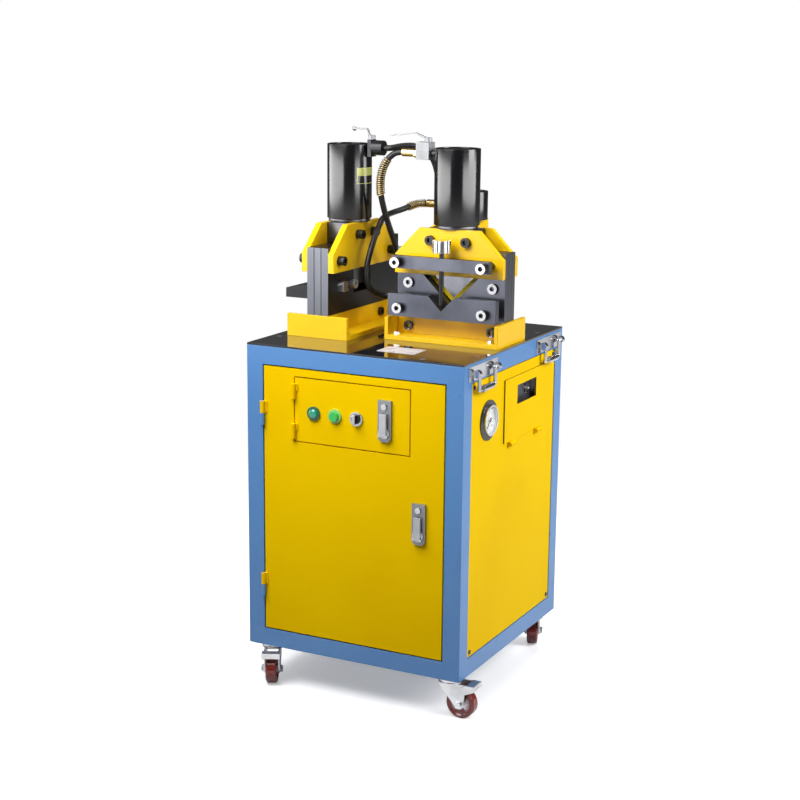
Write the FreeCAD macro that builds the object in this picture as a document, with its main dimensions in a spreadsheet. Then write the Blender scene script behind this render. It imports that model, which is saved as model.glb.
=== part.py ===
import FreeCAD, Part
import math
import os
import re
import Sketcher

# Angle iron processing machine: a cabinet on casters with three hydraulic heads on its deck.
# Millimetres, +Z up, front towards -Y, right towards +X. The origin is on the floor under
# the middle of the cabinet. Frame heights are measured from the floor.
SIZES = {
    # cabinet frame, deck and panels
    "cab_wide": 500,
    "cab_deep": 514,
    "frame_rise": 655,
    "caster_rise": 88,
    "tube": 38,
    "tube_wall": 2.5,
    "deck_thick": 4,
    "panel_thick": 1.5,
    "panel_inset": 1,
    "panel_gap": 2,
    "tab_wide": 24,
    "tab_thick": 3,
    "pan_thick": 2,
    "overrun": 5,
    "touch_gap": 0.3,
    "slot_wide": 120,
    "slot_tall": 7,
    "slot_pitch": 18,
    "slot_column": 80,
    "slot_low": 420,
    "panel_screw_radius": 4.5,
    "panel_screw_tall": 2,
    "deck_screw_radius": 6,
    "deck_screw_fit": 0.2,
    "deck_screw_edge": 19,
    "deck_screw_x": 149,
    "deck_screw_y": 158,
    # main door, control box and control door
    "door_gap": 3,
    "door_skin": 2,
    "door_flange": 16,
    "window_x": -1.5,
    "window_wide": 271,
    "window_low": 547.5,
    "window_tall": 139,
    "window_gap": 2.5,
    "box_wall": 2,
    "box_deep": 95,
    "small_flange": 10,
    "hinge_radius": 5,
    "pin_radius": 2.5,
    "pin_fit": 0.05,
    "leaf_thick": 2.2,
    "leaf_wide": 9,
    "main_hinge_half": 25,
    "main_hinge_high": 602,
    "main_hinge_low": 227,
    "small_hinge_half": 16,
    "small_hinge_high": 656,
    "small_hinge_low": 572,
    # switches on the control door
    "switch_z": 613,
    "lamp_x": -89,
    "start_x": -39,
    "selector_x": 11,
    "bezel_radius": 14.8,
    "bezel_tall": 4,
    "barrel_radius": 11,
    "barrel_fit": 0.2,
    "barrel_deep": 30,
    "plunger_radius": 9.6,
    "plunger_fit": 0.3,
    "plunger_proud": 6,
    "switch_nut_radius": 14,
    "switch_nut_tall": 4,
    "switch_end": 3,
    "lens_proud": 5,
    "start_travel": 4,
    "grip_wide": 7,
    "grip_proud": 9,
    "selector_base": 3,
    # locks
    "door_lock_inset": 56,
    "door_lock_low": 368,
    "control_lock_inset": 57,
    "control_lock_low": 573,
    "lock_wide": 30,
    "lock_tall": 86,
    "lock_thick": 6,
    "lock_chamfer": 7,
    "lock_pivot": 20,
    "lock_button_up": 73,
    "lock_button_radius": 6,
    "lock_button_proud": 4,
    "lock_travel": 2.5,
    "lock_travel_end": 0.3,
    "lock_barrel_radius": 10,
    "lock_barrel_deep": 22,
    "rotor_radius": 12,
    "rotor_thick": 3,
    "rotor_shaft_radius": 4,
    "shaft_fit": 0.1,
    "cam_long": 40,
    "cam_wide": 14,
    "cam_thick": 3,
    "lever_wide": 15,
    "lever_tall": 46,
    "lever_thick": 5,
    "lever_pin_radius": 1.5,
    "lever_pin_drop": 7,
    "ear_thick": 2.5,
    # side panel: gauge, flap and breaker
    "gauge_y": -135,
    "gauge_z": 613,
    "gauge_flange_radius": 42,
    "gauge_flange_thick": 2,
    "gauge_bezel_radius": 32,
    "gauge_bezel_tall": 9,
    "gauge_cup_radius": 28,
    "gauge_cup_deep": 7,
    "gauge_body_radius": 30,
    "gauge_body_deep": 34,
    "gauge_port_radius": 7,
    "gauge_port_long": 16,
    "gauge_hole_fit": 1,
    "spindle_radius": 1,
    "needle_fit": 0.05,
    "needle_hub_radius": 4,
    "needle_thick": 1.2,
    "needle_lift": 2,
    "needle_long": 22,
    "needle_wide": 2,
    "needle_tail": 8,
    "flap_y": 49,
    "flap_wide": 214,
    "flap_low": 546,
    "flap_tall": 135,
    "flap_thick": 3,
    "flap_window_y": 57,
    "flap_window_wide": 102,
    "flap_window_low": 619,
    "flap_window_tall": 41,
    "flap_knuckle": 26,
    "flap_hinge_y": 71,
    "breaker_margin": 14,
    "breaker_recess": 12,
    "breaker_deep": 40,
    "breaker_lip": 8,
    "toggle_y": 81,
    "toggle_long": 9,
    "toggle_wide": 5,
    "toggle_thick": 3,
    "toggle_slot_tall": 20,
    "toggle_slot_deep": 8,
    "toggle_slot_gap": 0.6,
    "breaker_screw_radius": 4,
    "breaker_screw_tall": 1.5,
    "breaker_screw_y": 36,
    "breaker_screw_z": 8,
    # folding handles
    "handle_front_y": -169,
    "handle_rear_y": 175,
    "handle_plate_long": 138,
    "handle_plate_tall": 30,
    "handle_plate_thick": 2,
    "handle_z": 724,
    "ear_radius": 8,
    "ear_long": 11,
    "ear_stand": 10,
    "bail_half": 38,
    "bail_wire_radius": 4,
    "bail_pin_radius": 2.5,
    "bail_pin_fit": 0.1,
    "bail_drop": 35,
    "bail_grip_radius": 7,
    "bail_grip_half": 24,
    "ear_gap": 0.5,
    # casters
    "caster_inset": 37,
    "caster_plate": 62,
    "caster_plate_thick": 3,
    "race_radius": 22,
    "race_tall": 9,
    "race_gap": 0.3,
    "fork_top_radius": 24,
    "fork_top_thick": 3,
    "fork_leg_thick": 3,
    "fork_leg_gap": 2,
    "fork_leg_wide": 36,
    "wheel_radius": 31.5,
    "wheel_wide": 24,
    "wheel_trail": 28,
    "wheel_crown": 3,
    "hub_radius": 10,
    "hub_proud": 1.5,
    "axle_radius": 4,
    "axle_fit": 0.1,
    "axle_nut_radius": 7.5,
    "axle_nut_tall": 6,
    "kingpin_radius": 5,
    "pedal_thick": 2.5,
    "pedal_reach": 62,
    "pedal_start": 44,
    "pedal_low": 74,
    "pedal_lip": 9,
    "pedal_pin_radius": 2.5,
    "pedal_pin_x": 36,
    "pedal_pin_z": 62,
    "pedal_cheek_wide": 12,
    # power pack inside the cabinet
    "tank_x": 40,
    "tank_y": 60,
    "tank_wide": 300,
    "tank_deep": 230,
    "tank_tall": 190,
    "tank_lid_proud": 6,
    "tank_lid_thick": 4,
    "tank_filler_radius": 22,
    "tank_filler_tall": 24,
    "tank_filler_x": 110,
    "motor_x": 10,
    "motor_radius": 70,
    "motor_tall": 170,
    "motor_flange_radius": 80,
    "motor_flange_thick": 12,
    "motor_cowl_radius": 74,
    "motor_cowl_tall": 40,
    "motor_box_wide": 70,
    "motor_box_tall": 60,
    "motor_box_deep": 36,
    "manifold_x": 125,
    "manifold_wide": 70,
    "manifold_deep": 60,
    "manifold_tall": 60,
    "manifold_y": -10,
    # heads: common sizes, u along the working face, v away from it, w up from the deck
    "right_x": 110,
    "right_y": -5.8,
    "left_x": -149,
    "left_y": 1,
    "right_base_half": 130.5,
    "left_base_half": 142.5,
    "base_half_deep": 72,
    "base_tall": 48,
    "base_floor": 10,
    "base_wall": 8,
    "right_stack_half": 124,
    "left_stack_half": 138.5,
    "left_tail": 44,
    "right_tail": 0,
    "stack_front": -25.2,
    "layer_thick": 16.8,
    "stack_top": 191,
    "window_apex": 73,
    "window_half": 64,
    "guide_half": 56,
    "blade_fit": 0.3,
    "blade_apex": 74.5,
    "blade_top": 150,
    "bevel_wide": 10.6,
    "bevel_deep": 4,
    "notch_u": 12,
    "notch_half": 38,
    "notch_low": 84,
    "notch_high": 136,
    "notch_blade_low": 96,
    "slab_thick": 13,
    "slab_low": 139,
    "slab_side": 40,
    "right_slab_top_half": 68.5,
    "left_slab_top_half": 77,
    "slab_top": 236,
    "neck_half": 54,
    "neck_flange_radius": 45,
    "neck_flange_tall": 7,
    "barrel_outer": 48,
    "barrel_rise": 158,
    "barrel_bore": 40,
    "barrel_floor": 8,
    "barrel_cap": 10,
    "barrel_edge": 3,
    "rod_radius": 15,
    "rod_fit": 0.2,
    "piston_fit": 0.3,
    "piston_low": 262,
    "piston_tall": 25,
    # rests, hold-down and bolts of the right head
    "rest_front": -71,
    "rest_thick": 16,
    "rest_low": 51.5,
    "rest_top": 99,
    "rest_notch_half": 30,
    "stud_u": 98,
    "rest_bolt_u": 97,
    "rest_bolt_w": 70,
    "body_bolt_w": 118,
    "bar_half": 110,
    "bar_front": -78,
    "bar_thick": 16,
    "bar_low": 154,
    "bar_tall": 26,
    "stud_radius": 8,
    "stud_fit": 0.2,
    "head_radius": 11,
    "head_tall": 13,
    "stud_head_tall": 16,
    "ring_tall": 6,
    "socket_radius": 5.5,
    "socket_deep": 6,
    "web_bolt_u": 96,
    "web_bolt_w": 26,
    "black_bolt_radius": 10,
    "right_bolt_tall": 10,
    "left_bolt_tall": 15,
    "web_bolt_tall": 6,
    "right_top_bolt_u": 41,
    "left_top_bolt_u": 33,
    "top_bolt_w": 212,
    "right_side_bolt_u": 98,
    "left_side_bolt_u": 114,
    "side_bolt_w": 164,
    "deck_bolt_edge": 22,
    "deck_bolt_v": 58,
    "deck_bolt_radius": 7,
    "deck_bolt_tall": 6,
    "screw_radius": 5,
    "screw_fit": 0.1,
    "screw_tip": 82,
    "screw_neck": 192,
    "knob_radius": 20,
    "knob_tall": 25,
    "knob_flute_radius": 6,
    # rests of the left head
    "wedge_long": 52,
    "wedge_low": 82,
    "wedge_root": 30,
    "wedge_tip": 20,
    "stop_u": -86,
    "stop_w": 106,
    "stop_size": 21,
    "stop_thick": 14,
    "stop_pin_radius": 1.5,
    "stop_pin_long": 12,
    "stop_bolt_u": -39.5,
    # punch head
    "punch_x": 54,
    "punch_y": 172,
    "jaw_wide": 58,
    "jaw_back": 70,
    "jaw_front": 45,
    "throat_back": 30,
    "throat_low": 70,
    "throat_high": 132,
    "jaw_top": 235,
    "jaw_slope": 16,
    "foot_thick": 12,
    "foot_wide": 96,
    "foot_front": 62,
    "punch_barrel_radius": 43,
    "punch_barrel_tall": 62,
    "punch_bore": 35,
    "punch_rod_radius": 18,
    "punch_pin_radius": 8,
    "punch_pin_low": 104,
    "punch_rod_low": 122,
    "punch_piston_low": 274,
    "punch_piston_tall": 12,
    "die_radius": 22,
    "die_tall": 8,
    "die_bore": 8.6,
    "slug_bore": 10,
    # valves, fittings and hoses
    "hose_radius": 6.5,
    "ferrule_radius": 9,
    "ferrule_long": 28,
    "ferrule_nut_radius": 11,
    "ferrule_nut_long": 9,
    "valve_wide": 30,
    "valve_deep": 30,
    "valve_tall": 36,
    "valve_low": 375,
    "valve_gap": 12,
    "nipple_radius": 8,
    "nipple_sink": 6,
    "right_port_w": 388,
    "left_port_w": 394,
    "left_valve_gap": 1,
    "left_valve_wide": 9,
    "left_valve_deep": 24,
    "coupler_radius": 16,
    "coupler_long": 25,
    "stem_radius": 4,
    "hub_tall": 9,
    "lever_hub_radius": 8,
    "valve_lever_wide": 9,
    "valve_lever_thick": 3,
    "right_lever_long": 88,
    "right_lever_knee": 30,
    "right_lever_rise": 10,
    "right_lever_drop": 7,
    "left_lever_long": 42,
    "left_lever_knee": 11,
    "left_lever_rise": 14,
    "lever_ball_radius": 5,
    "stem_fit": 0.1,
    "corridor_x": -45,
    "right_bulkhead_y": 98,
    "punch_bulkhead_y": 58,
    "left_bulkhead_x": 12,
    "left_bulkhead_y": 88,
    "bulkhead_radius": 12,
    "bulkhead_tall": 8,
    "bulkhead_nut_tall": 5,
    "bulkhead_ferrule": 20,
    "bulkhead_thread": 8,
    "bulkhead_fit": 0.3,
    "bulkhead_under": 16,
    "punch_port_w": 264,
    "punch_port_gap": 7,
    "punch_ferrule": 40,
    "gland_x": -180,
    "gland_z": 200,
    "gland_radius": 13,
    "gland_stem_radius": 10.5,
    "gland_fit": 0.3,
    "gland_bore": 8,
    "gland_proud": 14,
    "gland_inside": 12,
    "gland_nut_radius": 15,
    "gland_nut_tall": 6,
    # spring guards on the hoses
    "guard_wire": 1.1,
    "guard_pitch": 4.6,
    "guard_gap": 0.6,
    "right_guard_start": 38,
    "right_guard_long": 78,
    "punch_guard_start": 4,
    "punch_guard_long": 40,
}

# Routes of the hoses, from their upper fitting down to the bulkhead in the deck.
HOSE_ROUTES = {
    "hose_right": [
        (-17, -5.8, 1135),
        (-25, -5.8, 1135),
        (-39, -8, 1131),
        (-54, -14, 1115),
        (-66, -14, 1086),
        (-71, -6, 1050),
        (-70, 8, 1014),
        (-67, 24, 979),
        (-63, 43, 943),
        (-60, 61, 906),
        (-56, 77, 868),
        (-51, 89, 835),
        (-46.5, 95, 806),
        (-45, 98, 784),
        (-45, 98, 775),
    ],
    "hose_left": [
        (-66, 1, 1141),
        (-58, 1, 1141),
        (-47, 4.5, 1142),
        (-33, 17, 1146),
        (-14, 37, 1147),
        (3, 56, 1138),
        (16, 72, 1118),
        (22, 82, 1086),
        (24, 88, 1046),
        (23, 89, 1005),
        (21, 88, 960),
        (19, 89, 915),
        (16, 89.5, 870),
        (13, 89, 820),
        (12, 88, 784),
        (12, 88, 775),
    ],
    "hose_punch": [
        (-45, 172, 1011),
        (-53, 172, 1011),
        (-64, 168.5, 1010),
        (-74, 160, 1007),
        (-80, 152, 1004),
        (-90, 135, 998),
        (-98, 113, 994),
        (-101, 91, 991),
        (-99, 69, 988),
        (-94, 48, 985),
        (-88, 28, 978),
        (-85, 7, 963),
        (-85, -14, 936),
        (-86, -29, 909),
        (-87, -37, 882),
        (-86, -36, 858),
        (-82, -25, 839),
        (-73, -9, 829),
        (-62, 11, 824),
        (-52, 31, 817),
        (-47, 46, 805),
        (-45, 56.5, 792),
        (-45, 58, 783),
        (-45, 58, 775),
    ],
}

DOC = FreeCAD.newDocument("angle_iron_machine")
SHEET = DOC.addObject("Spreadsheet::Sheet", "Sizes")
NODES = []
WORD = re.compile(r"[A-Za-z_][A-Za-z_0-9]*")

FRAME_LOW = "caster_rise"
FRAME_TOP = "(caster_rise + frame_rise)"
DECK = "(caster_rise + frame_rise + deck_thick)"
FRONT = "(-cab_deep / 2)"
HALF_WIDE = "(cab_wide / 2)"
HALF_DEEP = "(cab_deep / 2)"
SIDE_FACE = "(cab_wide / 2 - panel_inset)"
OPEN_LOW = "(caster_rise + tube)"
OPEN_TOP = "(caster_rise + frame_rise - tube)"
STACK_BACK = "(stack_front + 3 * layer_thick)"
STACK_MID = "(stack_front + 1.5 * layer_thick)"
BARREL_LOW = "(slab_top + neck_flange_tall)"
TURNS = {"x": ((0, 1, 0), 90), "y": ((1, 0, 0), -90), "z": ((0, 0, 1), 0)}


def fill_sheet():
    """One row for each size: its name, and its value under that alias."""
    row = 0
    for alias, value in SIZES.items():
        row += 1
        SHEET.set("A%d" % row, alias)
        SHEET.set("B%d" % row, str(value))
        SHEET.setAlias("B%d" % row, alias)
    DOC.recompute()


def qualified(text):
    """The expression with each size's name pointing into the sheet."""
    return WORD.sub(lambda word: ("Sizes." if word.group(0) in SIZES else "") + word.group(0), text)


def number(text):
    return float(SHEET.evalExpression(qualified(text)))


def bind(item, prop, text):
    item.setExpression(prop, qualified(text))


def place(item, x, y, z, turn=TURNS["z"]):
    """Puts an object at a place written in the sheet's names, turned by an axis and an angle."""
    item.Placement = FreeCAD.Placement(
        FreeCAD.Vector(), FreeCAD.Rotation(FreeCAD.Vector(*turn[0]), turn[1])
    )
    for axis, text in zip("xyz", (x, y, z)):
        if text != "0":
            bind(item, "Placement.Base." + axis, text)
    return item


def block(name, xs, ys, zs):
    """Box between a low and a high place along each axis."""
    solid = DOC.addObject("Part::Box", name)
    for prop, (low, high) in zip(("Length", "Width", "Height"), (xs, ys, zs)):
        bind(solid, prop, "(%s) - (%s)" % (high, low))
    return place(solid, xs[0], ys[0], zs[0])


def along(item, axis, start, centre):
    """Stands an object that is built along Z on another axis, from start, round centre."""
    spot = dict(zip([letter for letter in "xyz" if letter != axis], centre))
    spot[axis] = start
    return place(item, spot["x"], spot["y"], spot["z"], TURNS[axis])


def rod(name, axis, radius, span, centre):
    """Cylinder along an axis, between two places on it."""
    solid = DOC.addObject("Part::Cylinder", name)
    bind(solid, "Radius", radius)
    bind(solid, "Height", "(%s) - (%s)" % (span[1], span[0]))
    return along(solid, axis, span[0], centre)


def hexagon(name, axis, radius, span, centre):
    solid = DOC.addObject("Part::Prism", name)
    solid.Polygon = 6
    bind(solid, "Circumradius", radius)
    bind(solid, "Height", "(%s) - (%s)" % (span[1], span[0]))
    return along(solid, axis, span[0], centre)


def ball(name, radius, x, y, z):
    solid = DOC.addObject("Part::Sphere", name)
    bind(solid, "Radius", radius)
    return place(solid, x, y, z)


def cut(name, base, tool):
    result = DOC.addObject("Part::Cut", name)
    result.Base = base
    result.Tool = tool
    return result


def fuse(name, *pieces):
    result = DOC.addObject("Part::MultiFuse", name)
    result.Shapes = list(pieces)
    return result


def group(name, *pieces):
    result = DOC.addObject("Part::Compound", name)
    result.Links = list(pieces)
    return result


def tube(name, axis, radii, span, centre):
    """Round tube, open at both ends: radii are the outer and the inner one."""
    outer = rod(name + "_outer", axis, radii[0], span, centre)
    longer = ("(%s) - overrun" % span[0], "(%s) + overrun" % span[1])
    return cut(name, outer, rod(name + "_bore", axis, radii[1], longer, centre))


def node(label, *pieces):
    """One named sub-part: a single solid, or a group of separate ones."""
    part = pieces[0] if len(pieces) == 1 else group(label + "_group", *pieces)
    part.Label = label
    NODES.append(part)
    return part


def band(sign, half, inset, width):
    """Span that lies inset to inset + width inside the face at sign * half."""
    if sign > 0:
        return ("%s - (%s) - (%s)" % (half, inset, width), "%s - (%s)" % (half, inset))
    return ("(%s) - %s" % (inset, half), "(%s) + (%s) - %s" % (inset, width, half))


def between(middle, half):
    return ("(%s) - (%s)" % (middle, half), "(%s) + (%s)" % (middle, half))


def fix(sketch, kind, entity, point, text):
    """Holds a sketch point at a distance from the sketch's origin."""
    mark = sketch.addConstraint(Sketcher.Constraint(kind, -1, 1, entity, point, number(text)))
    sketch.setExpression("Constraints[%d]" % mark, qualified(text))


def draw_loop(sketch, points):
    """Closed outline through points written in the sheet's names."""
    first = sketch.GeometryCount
    count = len(points)
    spots = [FreeCAD.Vector(number(across), number(up), 0) for across, up in points]
    for index in range(count):
        sketch.addGeometry(Part.LineSegment(spots[index], spots[(index + 1) % count]))
    for index in range(count):
        ends = (first + index, 2, first + (index + 1) % count, 1)
        sketch.addConstraint(Sketcher.Constraint("Coincident", *ends))
    for index, (across, up) in enumerate(points):
        fix(sketch, "DistanceX", first + index, 1, across)
        fix(sketch, "DistanceY", first + index, 1, up)


def draw_circle(sketch, across, up, radius):
    centre = FreeCAD.Vector(number(across), number(up), 0)
    circle = sketch.addGeometry(Part.Circle(centre, FreeCAD.Vector(0, 0, 1), number(radius)))
    fix(sketch, "DistanceX", circle, 3, across)
    fix(sketch, "DistanceY", circle, 3, up)
    mark = sketch.addConstraint(Sketcher.Constraint("Radius", circle, number(radius)))
    sketch.setExpression("Constraints[%d]" % mark, qualified(radius))


def new_sketch(body, name, plane):
    sketch = body.newObject("Sketcher::SketchObject", name + "_sketch")
    planes = [face for face in body.Origin.OriginFeatures if face.Role == plane + "_Plane"]
    sketch.AttachmentSupport = [(planes[0], "")]
    sketch.MapMode = "FlatFace"
    return sketch


def plate(name, plane, outline, span, circles=(), windows=()):
    """Flat piece: an outline with round holes and windows, padded over a span of the third axis."""
    body = DOC.addObject("PartDesign::Body", name)
    sketch = new_sketch(body, name, plane)
    draw_loop(sketch, outline)
    for window in windows:
        draw_loop(sketch, window)
    for across, up, radius in circles:
        draw_circle(sketch, across, up, radius)
    pad = body.newObject("PartDesign::Pad", name + "_pad")
    pad.Profile = sketch
    pad.Reversed = plane == "XZ"
    bind(pad, "Length", "(%s) - (%s)" % (span[1], span[0]))
    axis = {"XY": "z", "XZ": "y", "YZ": "x"}[plane]
    bind(body, "Placement.Base." + axis, span[0])
    return body


def turned(name, outline, axis, start, centre):
    """Turned piece: an outline of radius and height, spun round an axis."""
    body = DOC.addObject("PartDesign::Body", name)
    sketch = new_sketch(body, name, "XZ")
    draw_loop(sketch, outline)
    spin = body.newObject("PartDesign::Revolution", name + "_spin")
    spin.Profile = sketch
    spin.ReferenceAxis = (sketch, ["V_Axis"])
    spin.Angle = 360
    return along(body, axis, start, centre)


def rectangle(across, up):
    """Four corners of a rectangle given by its two spans."""
    return [
        (across[0], up[0]),
        (across[1], up[0]),
        (across[1], up[1]),
        (across[0], up[1]),
    ]


def socket_bolt(name, axis, sign, radius, tall, seat, centre):
    """Cap head that stands out of a seat towards sign, with a hexagon socket."""
    top = "(%s) + (%s)" % (seat, tall) if sign > 0 else "(%s) - (%s)" % (seat, tall)
    span = (seat, top) if sign > 0 else (top, seat)
    head = rod(name + "_head", axis, radius, span, centre)
    inner = "(%s) - socket_deep" % top if sign > 0 else "(%s) - overrun" % top
    outer = "(%s) + overrun" % top if sign > 0 else "(%s) + socket_deep" % top
    return cut(name, head, hexagon(name + "_socket", axis, "socket_radius", (inner, outer), centre))


def square_tube(name, axis, xs, ys, zs):
    """Hollow square tube along one axis, open at its ends."""
    spans = {"x": xs, "y": ys, "z": zs}
    hollow = {}
    for letter, (low, high) in spans.items():
        step = "overrun" if letter == axis else "-tube_wall"
        hollow[letter] = ("(%s) - (%s)" % (low, step), "(%s) + (%s)" % (high, step))
    outer = block(name + "_outer", xs, ys, zs)
    inner = block(name + "_hollow", hollow["x"], hollow["y"], hollow["z"])
    return cut(name, outer, inner)


def make_frame():
    """Welded square tubes, the floor pan and the tabs that the panels are screwed to."""
    pieces = []
    height = (FRAME_LOW, FRAME_TOP)
    levels = {"low": (FRAME_LOW, OPEN_LOW), "high": (OPEN_TOP, FRAME_TOP)}
    tabs = {
        "low": (OPEN_LOW, OPEN_LOW + " + tab_wide"),
        "high": (OPEN_TOP + " - tab_wide", OPEN_TOP),
    }
    behind = "panel_inset + panel_thick"
    for side, x_sign in (("left", -1), ("right", 1)):
        x_edge = band(x_sign, HALF_WIDE, "0", "tube")
        for end, y_sign in (("front", -1), ("rear", 1)):
            y_edge = band(y_sign, HALF_DEEP, "0", "tube")
            corner = side + "_" + end
            pieces.append(square_tube("post_" + corner, "z", x_edge, y_edge, height))
            for level, zs in tabs.items():
                x_tab = band(x_sign, HALF_WIDE, behind, "tab_thick")
                y_tab = band(y_sign, HALF_DEEP, "tube", "tab_wide")
                pieces.append(block("tab_%s_%s" % (corner, level), x_tab, y_tab, zs))
        for level, zs in levels.items():
            ys = between("0", "cab_deep / 2 - tube")
            pieces.append(square_tube("rail_%s_%s" % (side, level), "y", x_edge, ys, zs))
        for level, zs in tabs.items():
            x_tab = band(x_sign, HALF_WIDE, "tube", "tab_wide")
            y_tab = band(1, HALF_DEEP, behind, "tab_thick")
            pieces.append(block("tab_%s_back_%s" % (side, level), x_tab, y_tab, zs))
    for end, y_sign in (("front", -1), ("rear", 1)):
        y_edge = band(y_sign, HALF_DEEP, "0", "tube")
        for level, zs in levels.items():
            xs = between("0", "cab_wide / 2 - tube")
            pieces.append(square_tube("rail_%s_%s" % (end, level), "x", xs, y_edge, zs))
    inner_x = between("0", "cab_wide / 2 - tube")
    inner_y = between("0", "cab_deep / 2 - tube")
    pieces.append(block("floor_pan", inner_x, inner_y, (OPEN_LOW + " - pan_thick", OPEN_LOW)))
    node("frame", *pieces)


def deck_screw_spots():
    """Centres of the deck's screws, over the rails."""
    side = "(cab_wide / 2 - deck_screw_edge)"
    end = "(cab_deep / 2 - deck_screw_edge)"
    spots = []
    for x_sign in ("", "-"):
        for y_sign in ("", "-"):
            spots.append((x_sign + side, y_sign + "deck_screw_y"))
            spots.append((x_sign + "deck_screw_x", y_sign + end))
    return spots


BULKHEADS = (
    ("right", "corridor_x", "right_bulkhead_y"),
    ("punch", "corridor_x", "punch_bulkhead_y"),
    ("left", "left_bulkhead_x", "left_bulkhead_y"),
)


def make_deck():
    """Polished plate on top of the frame, with holes for its screws and the hose bulkheads."""
    holes = [(x, y, "deck_screw_radius + deck_screw_fit") for x, y in deck_screw_spots()]
    holes += [(x, y, "bulkhead_thread + bulkhead_fit") for label, x, y in BULKHEADS]
    outline = rectangle(between("0", HALF_WIDE), between("0", HALF_DEEP))
    node("top_plate", plate("deck_sheet", "XY", outline, (FRAME_TOP, DECK), holes))


def breaker_window():
    """Spans, along Y and Z, of the cut-out behind the flap's window."""
    half_wide = "flap_window_wide / 2 + breaker_margin"
    middle = "flap_window_low + flap_window_tall / 2"
    half_tall = "flap_window_tall / 2 + breaker_margin"
    return between("flap_window_y", half_wide), between(middle, half_tall)


SLOT_ROWS = 8


def make_panels():
    """Sheet panels in the side and rear openings, screwed to the frame's tabs."""
    side = rectangle(
        between("0", "cab_deep / 2 - tube - panel_gap"),
        (OPEN_LOW + " + panel_gap", OPEN_TOP + " - panel_gap"),
    )
    rear = rectangle(
        between("0", "cab_wide / 2 - tube - panel_gap"),
        (OPEN_LOW + " + panel_gap", OPEN_TOP + " - panel_gap"),
    )
    slots = []
    for sign in ("-", ""):
        for index in range(SLOT_ROWS):
            low = "slot_low + %d * slot_pitch" % index
            across = between(sign + "slot_column", "slot_wide / 2")
            slots.append(rectangle(across, (low, low + " + slot_tall")))
    left = band(-1, HALF_WIDE, "panel_inset", "panel_thick")
    right = band(1, HALF_WIDE, "panel_inset", "panel_thick")
    back = band(1, HALF_DEEP, "panel_inset", "panel_thick")
    gauge_hole = [("gauge_y", "gauge_z", "gauge_body_radius + gauge_hole_fit")]
    gland_hole = [("gland_x", "gland_z", "gland_stem_radius + gland_fit")]
    node(
        "cabinet_panels",
        plate("left_sheet", "YZ", side, left),
        plate("right_sheet", "YZ", side, right, gauge_hole, [rectangle(*breaker_window())]),
        plate("rear_sheet", "XZ", rear, back, gland_hole, slots),
    )


def hinge_ranges(middle, half):
    """Spans along Z of a hinge's upper knuckle, its lower one and its pin."""
    upper = ("(%s) + touch_gap / 2" % middle, "(%s) + (%s)" % (middle, half))
    lower = ("(%s) - (%s)" % (middle, half), "(%s) - touch_gap / 2" % middle)
    return upper, lower


HINGE_Y = "(%s - hinge_radius - touch_gap)" % FRONT


def moving_knuckle(name, x, middle, half):
    """Upper knuckle of a door hinge and its leaf, which is welded to the door's face."""
    upper = hinge_ranges(middle, half)[0]
    leaf = block(name + "_leaf", (x, "(%s) + leaf_wide" % x), (FRONT + " - leaf_thick", FRONT), upper)
    barrel = rod(name + "_barrel", "z", "hinge_radius", upper, (x, HINGE_Y))
    longer = ("(%s) - overrun" % upper[0], "(%s) + overrun" % upper[1])
    bore = rod(name + "_bore", "z", "pin_radius + pin_fit", longer, (x, HINGE_Y))
    return cut(name, fuse(name + "_solid", leaf, barrel), bore)


def fixed_knuckle(name, x, middle, half):
    """Lower knuckle of a door hinge, its leaf and the pin that stands up through the upper one."""
    upper, lower = hinge_ranges(middle, half)
    leaf = block(name + "_leaf", ("(%s) - leaf_wide" % x, x), (FRONT + " - leaf_thick", FRONT), lower)
    barrel = rod(name + "_barrel", "z", "hinge_radius", lower, (x, HINGE_Y))
    pin = rod(name + "_pin", "z", "pin_radius", (lower[0], upper[1]), (x, HINGE_Y))
    return fuse(name, leaf, barrel, pin)


MAIN_HINGE_X = "(tube + door_gap / 2 - cab_wide / 2)"
SMALL_HINGE_X = "(window_x - window_wide / 2 + window_gap / 2)"
DOOR_LOCK_X = "(cab_wide / 2 - tube - door_lock_inset)"
CONTROL_LOCK_X = "(window_x + window_wide / 2 - control_lock_inset)"
MAIN_HINGES = (("high", "main_hinge_high"), ("low", "main_hinge_low"))
SMALL_HINGES = (("high", "small_hinge_high"), ("low", "small_hinge_low"))


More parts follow.
